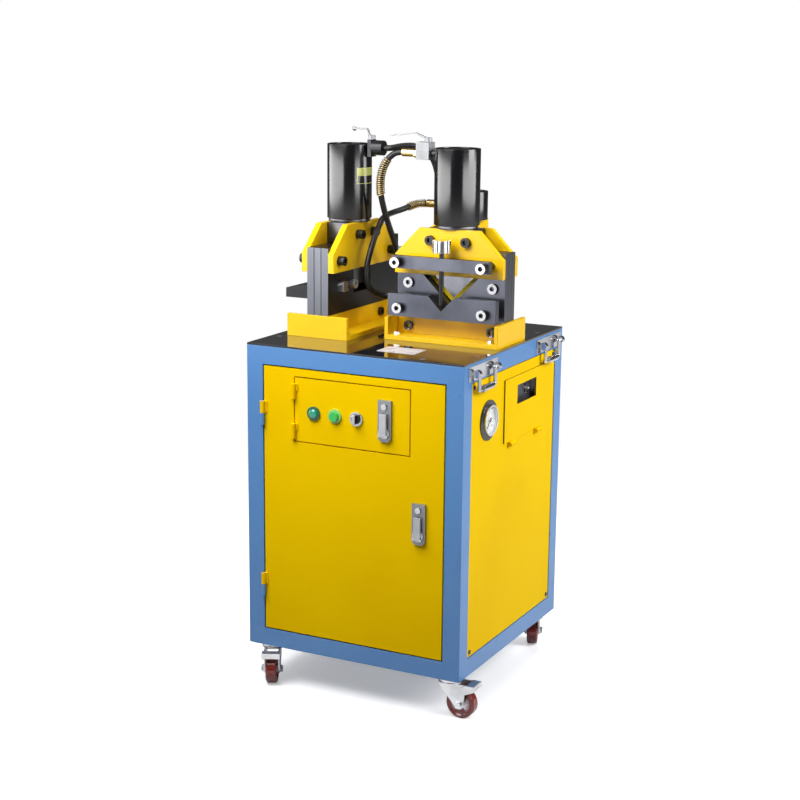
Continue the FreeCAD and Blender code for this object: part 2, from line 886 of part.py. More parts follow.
def make_main_door():
    """Folded door with the control box welded behind the window of the small door."""
    half = "cab_wide / 2 - tube - door_gap"
    height = (OPEN_LOW + " + door_gap", OPEN_TOP + " - door_gap")
    window_x = between("window_x", "window_wide / 2")
    window_z = ("window_low", "window_low + window_tall")
    lock_hole = (DOOR_LOCK_X, "door_lock_low + lock_pivot", "lock_barrel_radius + barrel_fit")
    skin_span = (FRONT, FRONT + " + door_skin")
    skin = plate(
        "door_skin_sheet",
        "XZ",
        rectangle(between("0", half), height),
        skin_span,
        [lock_hole],
        [rectangle(window_x, window_z)],
    )
    tray = block("door_tray", between("0", half), (FRONT, FRONT + " + door_flange"), height)
    inner_x = between("0", "%s - door_skin" % half)
    inner_z = (height[0] + " + door_skin", height[1] + " - door_skin")
    through = (FRONT + " - overrun", FRONT + " + door_flange + overrun")
    tray_hollow = block("door_hollow", inner_x, through, inner_z)
    outer = block(
        "box_outer",
        between("window_x", "window_wide / 2 + box_wall"),
        (FRONT, FRONT + " + box_deep"),
        ("window_low - box_wall", "window_low + window_tall + box_wall"),
    )
    hollow_y = (FRONT + " - overrun", FRONT + " + box_deep - box_wall")
    hollow = block("box_hollow", window_x, hollow_y, window_z)
    pieces = [skin, cut("door_rim", tray, tray_hollow), cut("control_box", outer, hollow)]
    for level, middle in MAIN_HINGES:
        pieces.append(moving_knuckle("door_knuckle_" + level, MAIN_HINGE_X, middle, "main_hinge_half"))
    for level, middle in SMALL_HINGES:
        pieces.append(
            fixed_knuckle("window_knuckle_" + level, SMALL_HINGE_X, middle, "small_hinge_half")
        )
    node("main_door", fuse("door_welded", *pieces))


SWITCHES = (("lamp", "lamp_x"), ("start", "start_x"), ("selector", "selector_x"))


def make_control_door():
    """Small folded door that carries the switches and its own lock."""
    half = "window_wide / 2 - window_gap"
    height = ("window_low + window_gap", "window_low + window_tall - window_gap")
    outline = rectangle(between("window_x", half), height)
    holes = [(x, "switch_z", "barrel_radius + barrel_fit") for label, x in SWITCHES]
    holes.append((CONTROL_LOCK_X, "control_lock_low + lock_pivot", "lock_barrel_radius + barrel_fit"))
    skin = plate("control_skin", "XZ", outline, (FRONT, FRONT + " + door_skin"), holes)
    tray = block("control_tray", between("window_x", half), (FRONT, FRONT + " + small_flange"), height)
    inner_x = between("window_x", "%s - door_skin" % half)
    inner_z = (height[0] + " + door_skin", height[1] + " - door_skin")
    through = (FRONT + " - overrun", FRONT + " + small_flange + overrun")
    hollow = block("control_hollow", inner_x, through, inner_z)
    pieces = [skin, cut("control_rim", tray, hollow)]
    for level, middle in SMALL_HINGES:
        pieces.append(moving_knuckle("control_knuckle_" + level, SMALL_HINGE_X, middle, "small_hinge_half"))
    node("control_door", fuse("control_welded", *pieces))


def make_switches():
    """Three switch bodies through the small door, and what each of them holds."""
    bodies = []
    back = FRONT + " + barrel_deep"
    for label, x in SWITCHES:
        centre = (x, "switch_z")
        ring = rod(label + "_ring", "y", "bezel_radius", (FRONT + " - bezel_tall", FRONT), centre)
        stem = rod(label + "_stem", "y", "barrel_radius", (FRONT + " - bezel_tall", back), centre)
        nut_span = (FRONT + " + door_skin", FRONT + " + door_skin + switch_nut_tall")
        nut = hexagon(label + "_nut", "y", "switch_nut_radius", nut_span, centre)
        bore_span = (FRONT + " - bezel_tall - overrun", back + " - switch_end")
        bore = rod(label + "_bore", "y", "plunger_radius + plunger_fit", bore_span, centre)
        bodies.append(cut(label + "_body", fuse(label + "_solid", ring, stem, nut), bore))
    node("switch_bodies", *bodies)
    face = FRONT + " - bezel_tall"
    rest = back + " - switch_end"
    lamp_profile = [
        ("0", "0"),
        ("plunger_radius", "0"),
        ("plunger_radius", "barrel_deep + bezel_tall - switch_end + lens_proud / 2"),
        ("plunger_radius * 0.7", "barrel_deep + bezel_tall - switch_end + lens_proud"),
        ("0", "barrel_deep + bezel_tall - switch_end + lens_proud"),
    ]
    lamp = turned("lamp_lens", lamp_profile, "y", rest, ("lamp_x", "switch_z"))
    lamp.Placement.Rotation = FreeCAD.Rotation(FreeCAD.Vector(1, 0, 0), 90)
    node("pilot_lamp", lamp)
    button_span = (face + " - plunger_proud", rest + " - start_travel - plunger_fit")
    node("start_button", rod("start_plunger", "y", "plunger_radius", button_span, ("start_x", "switch_z")))
    dial = rod(
        "selector_dial", "y", "plunger_radius", (face + " - selector_base", rest), ("selector_x", "switch_z")
    )
    grip = block(
        "selector_grip",
        between("selector_x", "grip_wide / 2"),
        (face + " - selector_base - grip_proud", face + " - selector_base"),
        between("switch_z", "plunger_radius * 0.92"),
    )
    node("selector_knob", fuse("selector_solid", dial, grip))


def make_lock(prefix, x, low):
    """Handle lock: base, push button, turning rotor with its cam, and the lever pinned to it."""
    pivot = "(%s + lock_pivot)" % low
    top = "%s + lock_tall" % low
    outline = [
        ("%s - lock_wide / 2 + lock_chamfer" % x, low),
        ("%s + lock_wide / 2 - lock_chamfer" % x, low),
        ("%s + lock_wide / 2" % x, "%s + lock_chamfer" % low),
        ("%s + lock_wide / 2" % x, top),
        ("%s - lock_wide / 2" % x, top),
        ("%s - lock_wide / 2" % x, "%s + lock_chamfer" % low),
    ]
    face = FRONT + " - lock_thick"
    back = FRONT + " + lock_barrel_deep"
    button_spot = (x, "%s + lock_button_up" % low)
    escutcheon = plate(prefix + "_escutcheon", "XZ", outline, (face, FRONT))
    barrel = rod(prefix + "_barrel", "y", "lock_barrel_radius", (FRONT, back), (x, pivot))
    shaft_span = (face + " - overrun", back + " + overrun")
    shaft_bore = rod(prefix + "_shaft_bore", "y", "rotor_shaft_radius + shaft_fit", shaft_span, (x, pivot))
    hole_span = (face + " - overrun", FRONT + " - door_skin / 2")
    hole = rod(prefix + "_button_hole", "y", "lock_button_radius + shaft_fit", hole_span, button_spot)
    solid = fuse(prefix + "_base_solid", escutcheon, barrel)
    bores = fuse(prefix + "_bores", shaft_bore, hole)
    node(prefix + "_base", cut(prefix + "_base_cut", solid, bores))
    button_back = FRONT + " - door_skin / 2 - lock_travel - lock_travel_end"
    button_span = (face + " - lock_button_proud", button_back)
    node(prefix + "_button", rod(prefix + "_plunger", "y", "lock_button_radius", button_span, button_spot))
    disc_back = face + " - touch_gap"
    disc_front = disc_back + " - rotor_thick"
    lever_back = disc_front + " - touch_gap"
    lever_front = lever_back + " - lever_thick"
    pin_y = "%s - lever_thick / 2" % lever_back
    pin_z = "%s - lever_pin_drop" % pivot
    disc = rod(prefix + "_disc", "y", "rotor_radius", (disc_front, disc_back), (x, pivot))
    cam_back = back + " + touch_gap + cam_thick"
    shaft = rod(prefix + "_shaft", "y", "rotor_shaft_radius", (disc_front, cam_back), (x, pivot))
    cam = block(
        prefix + "_cam",
        ("%s - cam_wide / 2" % x, "%s - cam_wide / 2 + cam_long" % x),
        (back + " + touch_gap", cam_back),
        between(pivot, "cam_wide / 2"),
    )
    pieces = [disc, shaft, cam]
    for side, sign in (("left", "-"), ("right", "+")):
        inner = "%s %s (lever_wide / 2 + touch_gap)" % (x, sign)
        outer = "%s %s (lever_wide / 2 + touch_gap + ear_thick)" % (x, sign)
        across = (outer, inner) if sign == "-" else (inner, outer)
        ear_z = between(pin_z, "lever_thick / 2")
        pieces.append(block("%s_ear_%s" % (prefix, side), across, (lever_front, disc_back), ear_z))
    pin_span = between(x, "lever_wide / 2 + ear_thick")
    pieces.append(rod(prefix + "_lever_pin", "x", "lever_pin_radius", pin_span, (pin_y, pin_z)))
    node(prefix + "_rotor", fuse(prefix + "_rotor_solid", *pieces))
    arm = block(
        prefix + "_arm",
        between(x, "lever_wide / 2"),
        (lever_front, lever_back),
        (pin_z, "%s + lever_tall" % pin_z),
    )
    heel = rod(
        prefix + "_heel", "x", "lever_thick / 2", between(x, "lever_wide / 2"), (pin_y, pin_z)
    )
    bore_span = between(x, "lever_wide / 2 + overrun")
    bore = rod(prefix + "_lever_bore", "x", "lever_pin_radius + pin_fit", bore_span, (pin_y, pin_z))
    node(prefix + "_lever", cut(prefix + "_lever_cut", fuse(prefix + "_lever_solid", arm, heel), bore))


def make_gauge():
    """Pressure gauge through the right panel: case with an open dial cup, and its needle."""
    centre = ("gauge_y", "gauge_z")
    face = SIDE_FACE
    rim = face + " + gauge_bezel_tall"
    floor = rim + " - gauge_cup_deep"
    flange = rod("gauge_flange", "x", "gauge_flange_radius", (face, face + " + gauge_flange_thick"), centre)
    bezel = rod("gauge_bezel", "x", "gauge_bezel_radius", (face, rim), centre)
    body = rod("gauge_body", "x", "gauge_body_radius", (face + " - gauge_body_deep", face), centre)
    port_top = "gauge_z - gauge_body_radius + overrun"
    port_span = ("gauge_z - gauge_body_radius - gauge_port_long", port_top)
    port_x = face + " - gauge_body_deep / 2"
    port = rod("gauge_port", "z", "gauge_port_radius", port_span, (port_x, "gauge_y"))
    cup = rod("gauge_cup", "x", "gauge_cup_radius", (floor, rim + " + overrun"), centre)
    shell = cut("gauge_shell", fuse("gauge_solid", flange, bezel, body, port), cup)
    lift = floor + " + needle_lift"
    spindle = rod("gauge_spindle", "x", "spindle_radius", (floor, lift + " + needle_thick"), centre)
    node("gauge_case", fuse("gauge_welded", shell, spindle))
    low = "gauge_bezel_tall - gauge_cup_deep + needle_lift"
    thick = (low, low + " + needle_thick")
    middle = ("0", "0")
    hub = rod("needle_hub", "x", "needle_hub_radius", thick, middle)
    pointer_z = ("-needle_long", "needle_tail")
    pointer = block("needle_pointer", thick, between("0", "needle_wide / 2"), pointer_z)
    bore_span = (low + " - overrun", low + " + overrun")
    bore = rod("needle_bore", "x", "spindle_radius + needle_fit", bore_span, middle)
    needle = cut("needle_cut", fuse("needle_solid", hub, pointer), bore)
    node("gauge_needle", place(group("needle_here", needle), face, "gauge_y", "gauge_z", ((1, 0, 0), -45)))


FLAP_X = "(%s + touch_gap)" % SIDE_FACE
FLAP_HINGE_X = "(%s + hinge_radius)" % FLAP_X
FLAP_HINGE_Z = "(flap_low - hinge_radius)"


def make_flap():
    """Flap over the breaker: a plate with a window, hinged at its lower edge."""
    outline = rectangle(between("flap_y", "flap_wide / 2"), ("flap_low", "flap_low + flap_tall"))
    window = rectangle(
        between("flap_window_y", "flap_window_wide / 2"),
        ("flap_window_low", "flap_window_low + flap_window_tall"),
    )
    sheet = plate("flap_sheet", "YZ", outline, (FLAP_X, FLAP_X + " + flap_thick"), (), [window])
    pieces = [sheet]
    bores = []
    fixed = []
    for side, sign in (("front", "-"), ("rear", "+")):
        middle = "flap_y %s flap_hinge_y" % sign
        centre = (FLAP_HINGE_X, FLAP_HINGE_Z)
        moving = ("%s + touch_gap / 2" % middle, "%s + flap_knuckle / 2" % middle)
        still = ("%s - flap_knuckle / 2" % middle, "%s - touch_gap / 2" % middle)
        pieces.append(rod("flap_barrel_" + side, "y", "hinge_radius", moving, centre))
        web_z = (FLAP_HINGE_Z, "flap_low + hinge_radius")
        pieces.append(block("flap_web_" + side, (FLAP_X, FLAP_X + " + flap_thick"), moving, web_z))
        longer = ("%s - overrun" % moving[0], "%s + overrun" % moving[1])
        bores.append(rod("flap_bore_" + side, "y", "pin_radius + pin_fit", longer, centre))
        barrel = rod("panel_barrel_" + side, "y", "hinge_radius", still, centre)
        leaf_z = ("%s - leaf_wide" % FLAP_HINGE_Z, FLAP_HINGE_Z)
        leaf = block("panel_leaf_" + side, (SIDE_FACE, SIDE_FACE + " + leaf_thick"), still, leaf_z)
        pin = rod("flap_pin_" + side, "y", "pin_radius", (still[0], moving[1]), centre)
        fixed.append(fuse("panel_knuckle_" + side, barrel, leaf, pin))
    solid = fuse("flap_solid", *pieces)
    node("side_flap", cut("flap_cut", solid, group("flap_bores", *bores)))
    for level, middle in MAIN_HINGES:
        fixed.append(fixed_knuckle("post_knuckle_" + level, MAIN_HINGE_X, middle, "main_hinge_half"))
    node("hinges", *fixed)


def make_breaker():
    """Isolator behind the flap's window, clamped to the inside of the panel, with its toggle."""
    inside = SIDE_FACE + " - panel_thick"
    across, up = breaker_window()
    wide_y = ("%s - breaker_lip" % across[0], "%s + breaker_lip" % across[1])
    wide_z = ("%s - breaker_lip" % up[0], "%s + breaker_lip" % up[1])
    face = SIDE_FACE + " - breaker_recess"
    middle = "flap_window_low + flap_window_tall / 2"
    plate_span = (face + " - pan_thick", inside)
    lip = block("breaker_frame", plate_span, wide_y, wide_z)
    inner = block("breaker_opening", (face, inside + " + overrun"), across, up)
    body = block("breaker_block", (face + " - breaker_deep", face), across, up)
    slot_z = between(middle, "toggle_slot_tall / 2")
    slot_y = between("toggle_y", "toggle_wide / 2 + toggle_slot_gap")
    slot = block("toggle_slot", (face + " - toggle_slot_deep", face + " + overrun"), slot_y, slot_z)
    shell = cut("breaker_shell", fuse("breaker_solid", cut("breaker_tray", lip, inner), body), slot)
    pieces = [shell]
    for side, sign in (("front", "-"), ("rear", "+")):
        spot = ("flap_window_y %s breaker_screw_y" % sign, "flap_window_low + breaker_screw_z")
        span = (face, face + " + breaker_screw_tall")
        pieces.append(rod("breaker_screw_" + side, "x", "breaker_screw_radius", span, spot))
    node("breaker", *pieces)
    root = face + " - toggle_slot_deep / 2"
    stick = block(
        "toggle_stick",
        (root, face + " + toggle_long"),
        between("toggle_y", "toggle_wide / 2"),
        between(middle, "toggle_thick / 2"),
    )
    pivot = rod("toggle_root", "y", "toggle_thick", between("toggle_y", "toggle_wide / 2"), (root, middle))
    node("breaker_toggle", fuse("toggle_solid", stick, pivot))


def handle_plate(name, y):
    """Backing plate of a folding handle on the right, with the two ears that carry the bail."""
    face = HALF_WIDE
    low = "handle_z - handle_plate_tall / 2"
    back = block(
        name + "_back",
        (face, face + " + handle_plate_thick"),
        between(y, "handle_plate_long / 2"),
        (low, low + " + handle_plate_tall"),
    )
    pieces = [back]
    x = face + " + ear_stand"
    for end, sign in (("front", "-"), ("rear", "+")):
        inner = "%s %s (bail_half + bail_wire_radius + ear_gap)" % (y, sign)
        outer = "%s %s (bail_half + bail_wire_radius + ear_gap + ear_long)" % (y, sign)
        span = (outer, inner) if sign == "-" else (inner, outer)
        pieces.append(rod("%s_ear_%s" % (name, end), "y", "ear_radius", span, (x, "handle_z")))
    bore_span = between(y, "bail_half + bail_wire_radius + ear_gap + ear_long / 2")
    bore = rod(name + "_bore", "y", "bail_pin_radius + bail_pin_fit", bore_span, (x, "handle_z"))
    return cut(name + "_plate", fuse(name + "_solid", *pieces), bore)


def bail(name, y):
    """Wire bail that hangs from the two ears, with a thicker grip in the middle."""
    x = HALF_WIDE + " + ear_stand"
    low = "handle_z - bail_drop"
    pieces = [
        rod(name + "_bar", "y", "bail_wire_radius", between(y, "bail_half"), (x, low)),
        rod(name + "_grip", "y", "bail_grip_radius", between(y, "bail_grip_half"), (x, low)),
    ]
    for end, sign in (("front", "-"), ("rear", "+")):
        leg_y = "%s %s bail_half" % (y, sign)
        tip = "%s %s (bail_half + bail_wire_radius + ear_gap + ear_long / 2 - ear_gap)" % (y, sign)
        span = (tip, leg_y) if sign == "-" else (leg_y, tip)
        pieces.append(rod("%s_leg_%s" % (name, end), "z", "bail_wire_radius", (low, "handle_z"), (x, leg_y)))
        pieces.append(ball("%s_bend_%s" % (name, end), "bail_wire_radius", x, leg_y, low))
        pieces.append(ball("%s_eye_%s" % (name, end), "bail_wire_radius", x, leg_y, "handle_z"))
        pieces.append(rod("%s_pin_%s" % (name, end), "y", "bail_pin_radius", span, (x, "handle_z")))
    return fuse(name + "_bail", *pieces)


def make_handles():
    """Two folding handles on each side: those on the left are the right ones turned round."""
    half_turn = ((0, 0, 1), 180)
    plates = []
    for side in ("right", "left"):
        for end, y in (("front", "handle_front_y"), ("rear", "handle_rear_y")):
            if side == "left":
                end = {"front": "rear", "rear": "front"}[end]
            name = "handle_%s_%s" % (side, end)
            backing = handle_plate(name, y)
            wire = bail(name, y)
            if side == "left":
                backing = place(group(name + "_turned_plate", backing), "0", "0", "0", half_turn)
                wire = place(group(name + "_turned_bail", wire), "0", "0", "0", half_turn)
            plates.append(backing)
            node(name, wire)
    node("handle_plates", *plates)


# Casters: the yaw that each one's wheel trails at, as the machine stands.
CASTERS = (
    ("front_left", -1, -1, -65, True),
    ("front_right", 1, -1, 0, True),
    ("rear_left", -1, 1, 90, False),
    ("rear_right", 1, 1, 110, False),
)


def caster_spot(x_sign, y_sign):
    x = "%d * (cab_wide / 2 - caster_inset)" % x_sign
    y = "%d * (cab_deep / 2 - caster_inset)" % y_sign
    return x, y


def caster_mount(name):
    """Plate screwed under the frame, with the fixed race and the hole for the king pin."""
    low = FRAME_LOW + " - caster_plate_thick"
    half = "caster_plate / 2"
    sheet = block(name + "_sheet", between("0", half), between("0", half), (low, FRAME_LOW))
    race = rod(name + "_race", "z", "race_radius", (low + " - race_tall", low), ("0", "0"))
    bore_span = (low + " - race_tall - overrun", FRAME_LOW + " + overrun")
    bore = rod(name + "_bore", "z", "kingpin_radius + pin_fit", bore_span, ("0", "0"))
    return cut(name + "_mount", fuse(name + "_mount_solid", sheet, race), bore)


FORK_TOP = "(caster_rise - caster_plate_thick - race_tall - race_gap)"


def caster_fork(name, braked):
    """Fork that swivels under its plate: top disc, king pin, two legs and the axle bolt."""
    disc_low = FORK_TOP + " - fork_top_thick"
    disc = rod(name + "_disc", "z", "fork_top_radius", (disc_low, FORK_TOP), ("0", "0"))
    pin_span = (disc_low, FRAME_LOW + " - touch_gap")
    pin = rod(name + "_kingpin", "z", "kingpin_radius", pin_span, ("0", "0"))
    inner = "(wheel_wide / 2 + fork_leg_gap)"
    outer = "(wheel_wide / 2 + fork_leg_gap + fork_leg_thick)"
    top = FORK_TOP
    outline = [
        ("-fork_top_radius * 0.75", top),
        ("-fork_top_radius * 0.75", top + " - fork_top_thick * 2"),
        ("wheel_trail - hub_radius * 0.9", "wheel_radius - hub_radius * 0.5"),
        ("wheel_trail - hub_radius * 0.3", "wheel_radius - hub_radius"),
        ("wheel_trail + hub_radius * 0.5", "wheel_radius - hub_radius * 0.9"),
        ("wheel_trail + hub_radius", "wheel_radius"),
        ("fork_leg_wide + pedal_cheek_wide / 2", top + " - fork_top_thick * 3"),
        ("fork_leg_wide + pedal_cheek_wide / 2", top),
    ]
    pieces = [disc, pin]
    roof_y = between("0", outer)
    roof = block(
        name + "_roof",
        ("-fork_top_radius * 0.75", "wheel_trail - hub_radius * 0.8"),
        roof_y,
        (top + " - fork_top_thick", top),
    )
    pieces.append(roof)
    for side, span in (("near", ("-" + outer, "-" + inner)), ("far", (inner, outer))):
        pieces.append(plate("%s_leg_%s" % (name, side), "XZ", outline, span))
    axle_spot = ("wheel_trail", "wheel_radius")
    pieces.append(rod(name + "_axle", "y", "axle_radius", between("0", outer), axle_spot))
    near = ("-%s - axle_nut_tall" % outer, "-" + outer)
    far = (outer, outer + " + axle_nut_tall")
    pieces.append(hexagon(name + "_nut", "y", "axle_nut_radius", near, axle_spot))
    pieces.append(hexagon(name + "_bolt", "y", "axle_nut_radius", far, axle_spot))
    if braked:
        pin_spot = ("pedal_pin_x", "pedal_pin_z")
        reach = outer + " + touch_gap + pedal_thick"
        near = ("-(%s)" % reach, "-" + inner)
        pieces.append(rod(name + "_pedal_pin_near", "y", "pedal_pin_radius", near, pin_spot))
        pieces.append(rod(name + "_pedal_pin_far", "y", "pedal_pin_radius", (inner, reach), pin_spot))
    return fuse(name + "_fork", *pieces)


def caster_wheel(name):
    """Wheel with a crowned tread, a recessed web and a hub bored for the axle."""
    half = "wheel_wide / 2"
    rim = "wheel_radius - wheel_crown"
    profile = [
        ("axle_radius + axle_fit", "-%s - hub_proud" % half),
        ("hub_radius", "-%s - hub_proud" % half),
        ("hub_radius", "-%s + wheel_crown" % half),
        ("%s - wheel_crown * 2" % rim, "-%s + wheel_crown" % half),
        ("%s - wheel_crown" % rim, "-%s" % half),
        (rim, "-%s" % half),
        ("wheel_radius", "-%s + wheel_crown" % half),
        ("wheel_radius", "%s - wheel_crown" % half),
        (rim, half),
        ("%s - wheel_crown" % rim, half),
        ("%s - wheel_crown * 2" % rim, "%s - wheel_crown" % half),
        ("hub_radius", "%s - wheel_crown" % half),
        ("hub_radius", "%s + hub_proud" % half),
        ("axle_radius + axle_fit", "%s + hub_proud" % half),
    ]
    return turned(name + "_tyre", profile, "y", "0", ("wheel_trail", "wheel_radius"))


def brake_pedal(name):
    """Brake pedal over the wheel: a tread plate with a turned-up lip and two cheeks on a pin."""
    inner = "(wheel_wide / 2 + fork_leg_gap + fork_leg_thick + touch_gap)"
    outer = inner + " + pedal_thick"
    tread_y = between("0", outer)
    tread_z = ("pedal_low", "pedal_low + pedal_thick")
    pieces = [
        block(name + "_tread", ("pedal_start", "pedal_reach"), tread_y, tread_z),
        block(
            name + "_lip",
            ("pedal_reach - pedal_thick", "pedal_reach"),
            tread_y,
            ("pedal_low - pedal_lip", "pedal_low + pedal_thick"),
        ),
    ]
    outline = [
        ("pedal_pin_x - pedal_cheek_wide / 2", "pedal_pin_z - pedal_cheek_wide / 2"),
        ("pedal_pin_x + pedal_cheek_wide / 2", "pedal_pin_z - pedal_cheek_wide / 2"),
        ("pedal_reach", "pedal_low - pedal_lip"),
        ("pedal_reach", "pedal_low + pedal_thick"),
        ("pedal_start", "pedal_low + pedal_thick"),
        ("pedal_pin_x - pedal_cheek_wide / 2", "pedal_pin_z + pedal_cheek_wide / 2"),
    ]
    hole = [("pedal_pin_x", "pedal_pin_z", "pedal_pin_radius + pin_fit")]
    for side, span in (("near", ("-(%s)" % outer, "-" + inner)), ("far", (inner, outer))):
        pieces.append(plate("%s_cheek_%s" % (name, side), "XZ", outline, span, hole))
    return fuse(name + "_pedal", *pieces)


def make_casters():
    """Four swivel casters as they stand in the picture, each turned to its own yaw."""
    mounts = []
    for label, x_sign, y_sign, yaw, braked in CASTERS:
        spot = caster_spot(x_sign, y_sign) + ("0", ((0, 0, 1), yaw))
        level = caster_spot(x_sign, y_sign) + ("0",)
        name = "caster_" + label
        mounts.append(place(group(name + "_mount_here", caster_mount(name)), *level))
        node("caster_fork_" + label, place(group(name + "_fork_here", caster_fork(name, braked)), *spot))
        node("caster_wheel_" + label, place(group(name + "_wheel_here", caster_wheel(name)), *spot))
        if braked:
            node("brake_pedal_" + label, place(group(name + "_pedal_here", brake_pedal(name)), *spot))
    node("caster_plates", *mounts)


def make_power_pack():
    """Oil tank on the floor pan, with the motor and the valve manifold on its lid."""
    tank_x = between("tank_x", "tank_wide / 2")
    tank_y = between("tank_y", "tank_deep / 2")
    lid_low = OPEN_LOW + " + tank_tall"
    lid_top = "(%s + tank_lid_thick)" % lid_low
    box = block("tank_outer", tank_x, tank_y, (OPEN_LOW, lid_low))
    hollow = block(
        "tank_hollow",
        between("tank_x", "tank_wide / 2 - pan_thick"),
        between("tank_y", "tank_deep / 2 - pan_thick"),
        (OPEN_LOW + " + pan_thick", lid_low + " + overrun"),
    )
    lid = block(
        "tank_lid",
        between("tank_x", "tank_wide / 2 + tank_lid_proud"),
        between("tank_y", "tank_deep / 2 + tank_lid_proud"),
        (lid_low, lid_top),
    )
    filler_span = (lid_top, lid_top + " + tank_filler_tall")
    filler_spot = ("tank_x + tank_filler_x", "tank_y + tank_deep / 2 - tank_filler_radius * 1.5")
    filler = rod("tank_filler", "z", "tank_filler_radius", filler_span, filler_spot)
    manifold = block(
        "manifold_block",
        between("manifold_x", "manifold_wide / 2"),
        between("manifold_y", "manifold_deep / 2"),
        (lid_top, lid_top + " + manifold_tall"),
    )
    node("oil_tank", cut("tank_shell", box, hollow), lid, filler, manifold)
    spot = ("motor_x", "tank_y")
    flange_top = lid_top + " + motor_flange_thick"
    body_top = flange_top + " + motor_tall"
    motor = [
        rod("motor_flange", "z", "motor_flange_radius", (lid_top, flange_top), spot),
        rod("motor_body", "z", "motor_radius", (flange_top, body_top), spot),
        rod("motor_cowl", "z", "motor_cowl_radius", (body_top + " - motor_cowl_tall", body_top), spot),
        block(
            "motor_terminal_box",
            between("motor_x", "motor_box_wide / 2"),
            ("tank_y - motor_radius - motor_box_deep", "tank_y"),
            between("(%s + %s) / 2" % (flange_top, body_top), "motor_box_tall / 2"),
        ),
    ]
    node("motor", fuse("motor_solid", *motor))


def at_head(name, side, *pieces):
    """Pieces of a head in its own place: the right one faces the front, the left one the right."""
    x, y, yaw = {"right": ("right_x", "right_y", 0), "left": ("left_x", "left_y", 90)}[side]
    return place(group(name, *pieces), x, y, DECK, ((0, 0, 1), yaw))


def head_base(side):
    """Welded base: floor, upright web under the stack and two end plates."""
    half = side + "_base_half"
    far = "(%s + %s_tail)" % (half, side)
    name = "base_" + side
    deep = between("0", "base_half_deep")
    floor = block(name + "_floor", ("-" + half, far), deep, ("0", "base_floor"))
    web_v = ("stack_front", "stack_front + base_wall")
    web = block(name + "_web", ("-" + half, far), web_v, ("0", "base_tall"))
    pieces = [floor, web]
    for end, across in (("near", ("-" + half, "base_wall - " + half)), ("far", (far + " - base_wall", far))):
        pieces.append(block("%s_%s" % (name, end), across, deep, ("0", "base_tall")))
    return fuse(name + "_weld", *pieces)


def layer(index):
    """Span across the stack of its first, middle or last layer."""
    low = "stack_front + %d * layer_thick" % index
    return (low, low + " + layer_thick")


def stack_plates(side, window):
    """Three steel layers: bored plates with the window in front and behind, guides between."""
    half = side + "_stack_half"
    far = "(%s + %s_tail)" % (half, side)
    outline = rectangle(("-" + half, far), ("base_tall", "stack_top"))
    name = "stack_" + side
    pieces = []
    for label, span in (("front", layer(0)), ("rear", layer(2))):
        sheet = plate("%s_%s" % (name, label), "XZ", outline, span, (), [window])
        bore_span = ("notch_high - overrun", "stack_top + overrun")
        bore_name = "%s_bore_%s" % (name, label)
        bore = rod(bore_name, "z", "rod_radius + rod_fit", bore_span, ("0", STACK_MID))
        pieces.append(cut("%s_bored_%s" % (name, label), sheet, bore))
    gap = "guide_half + blade_fit"
    for end, across in (("near", ("-" + half, "-(%s)" % gap)), ("far", (gap, far))):
        pieces.append(block("%s_guide_%s" % (name, end), across, layer(1), ("base_tall", "stack_top")))
    return pieces


def yoke_slab(name, side, front):
    """Sloped yoke slab across the upper half of the stack."""
    half = side + "_stack_half"
    top_half = side + "_slab_top_half"
    outline = [
        ("-" + half, "slab_low"),
        (half, "slab_low"),
        (half, "slab_low + slab_side"),
        (top_half, "slab_top"),
        ("-" + top_half, "slab_top"),
        ("-" + half, "slab_low + slab_side"),
    ]
    return plate(name, "XZ", outline, (front, "%s + slab_thick" % front))


def neck_and_barrel(side):
    """Neck block between the slabs with its flange, and the bored cylinder on top of it."""
    name = "ram_" + side
    spot = ("0", STACK_MID)
    block_v = ("stack_front", STACK_BACK)
    neck = block(name + "_neck_block", between("0", "neck_half"), block_v, ("stack_top", "slab_top"))
    flange = rod(name + "_flange", "z", "neck_flange_radius", ("slab_top", BARREL_LOW), spot)
    bore_span = ("stack_top - overrun", BARREL_LOW + " + overrun")
    bore = rod(name + "_neck_bore", "z", "rod_radius + rod_fit", bore_span, spot)
    neck = cut(name + "_neck", fuse(name + "_neck_solid", neck, flange), bore)
    profile = [
        ("rod_radius + rod_fit", "0"),
        ("barrel_outer - barrel_edge", "0"),
        ("barrel_outer", "barrel_edge"),
        ("barrel_outer", "barrel_rise - barrel_edge"),
        ("barrel_outer - barrel_edge", "barrel_rise"),
        ("0", "barrel_rise"),
        ("0", "barrel_rise - barrel_cap"),
        ("barrel_bore", "barrel_rise - barrel_cap"),
        ("barrel_bore", "barrel_floor"),
        ("rod_radius + rod_fit", "barrel_floor"),
    ]
    barrel = turned(name + "_tube", profile, "z", BARREL_LOW, spot)
    if side == "right":
        span = ("-barrel_outer - valve_gap", "-barrel_outer + nipple_sink")
        nipple = rod(name + "_nipple", "x", "nipple_radius", span, (STACK_MID, "right_port_w"))
    else:
        edge = STACK_MID + " - barrel_outer"
        span = (edge + " - left_valve_gap", edge + " + nipple_sink")
        nipple = rod(name + "_nipple", "y", "nipple_radius", span, ("0", "left_port_w"))
    return [neck, fuse(name + "_barrel", barrel, nipple)]


def piston_rod(name, low):
    """Rod from the top of a blade up into the cylinder, with its piston."""
    spot = ("0", STACK_MID)
    shaft = rod(name + "_shaft", "z", "rod_radius", (low, "piston_low + piston_tall"), spot)
    piston_span = ("piston_low", "piston_low + piston_tall")
    piston = rod(name + "_piston", "z", "barrel_bore - piston_fit", piston_span, spot)
    return [shaft, piston]


BLADE_V = ("stack_front + layer_thick + blade_fit", "stack_front + 2 * layer_thick - blade_fit")


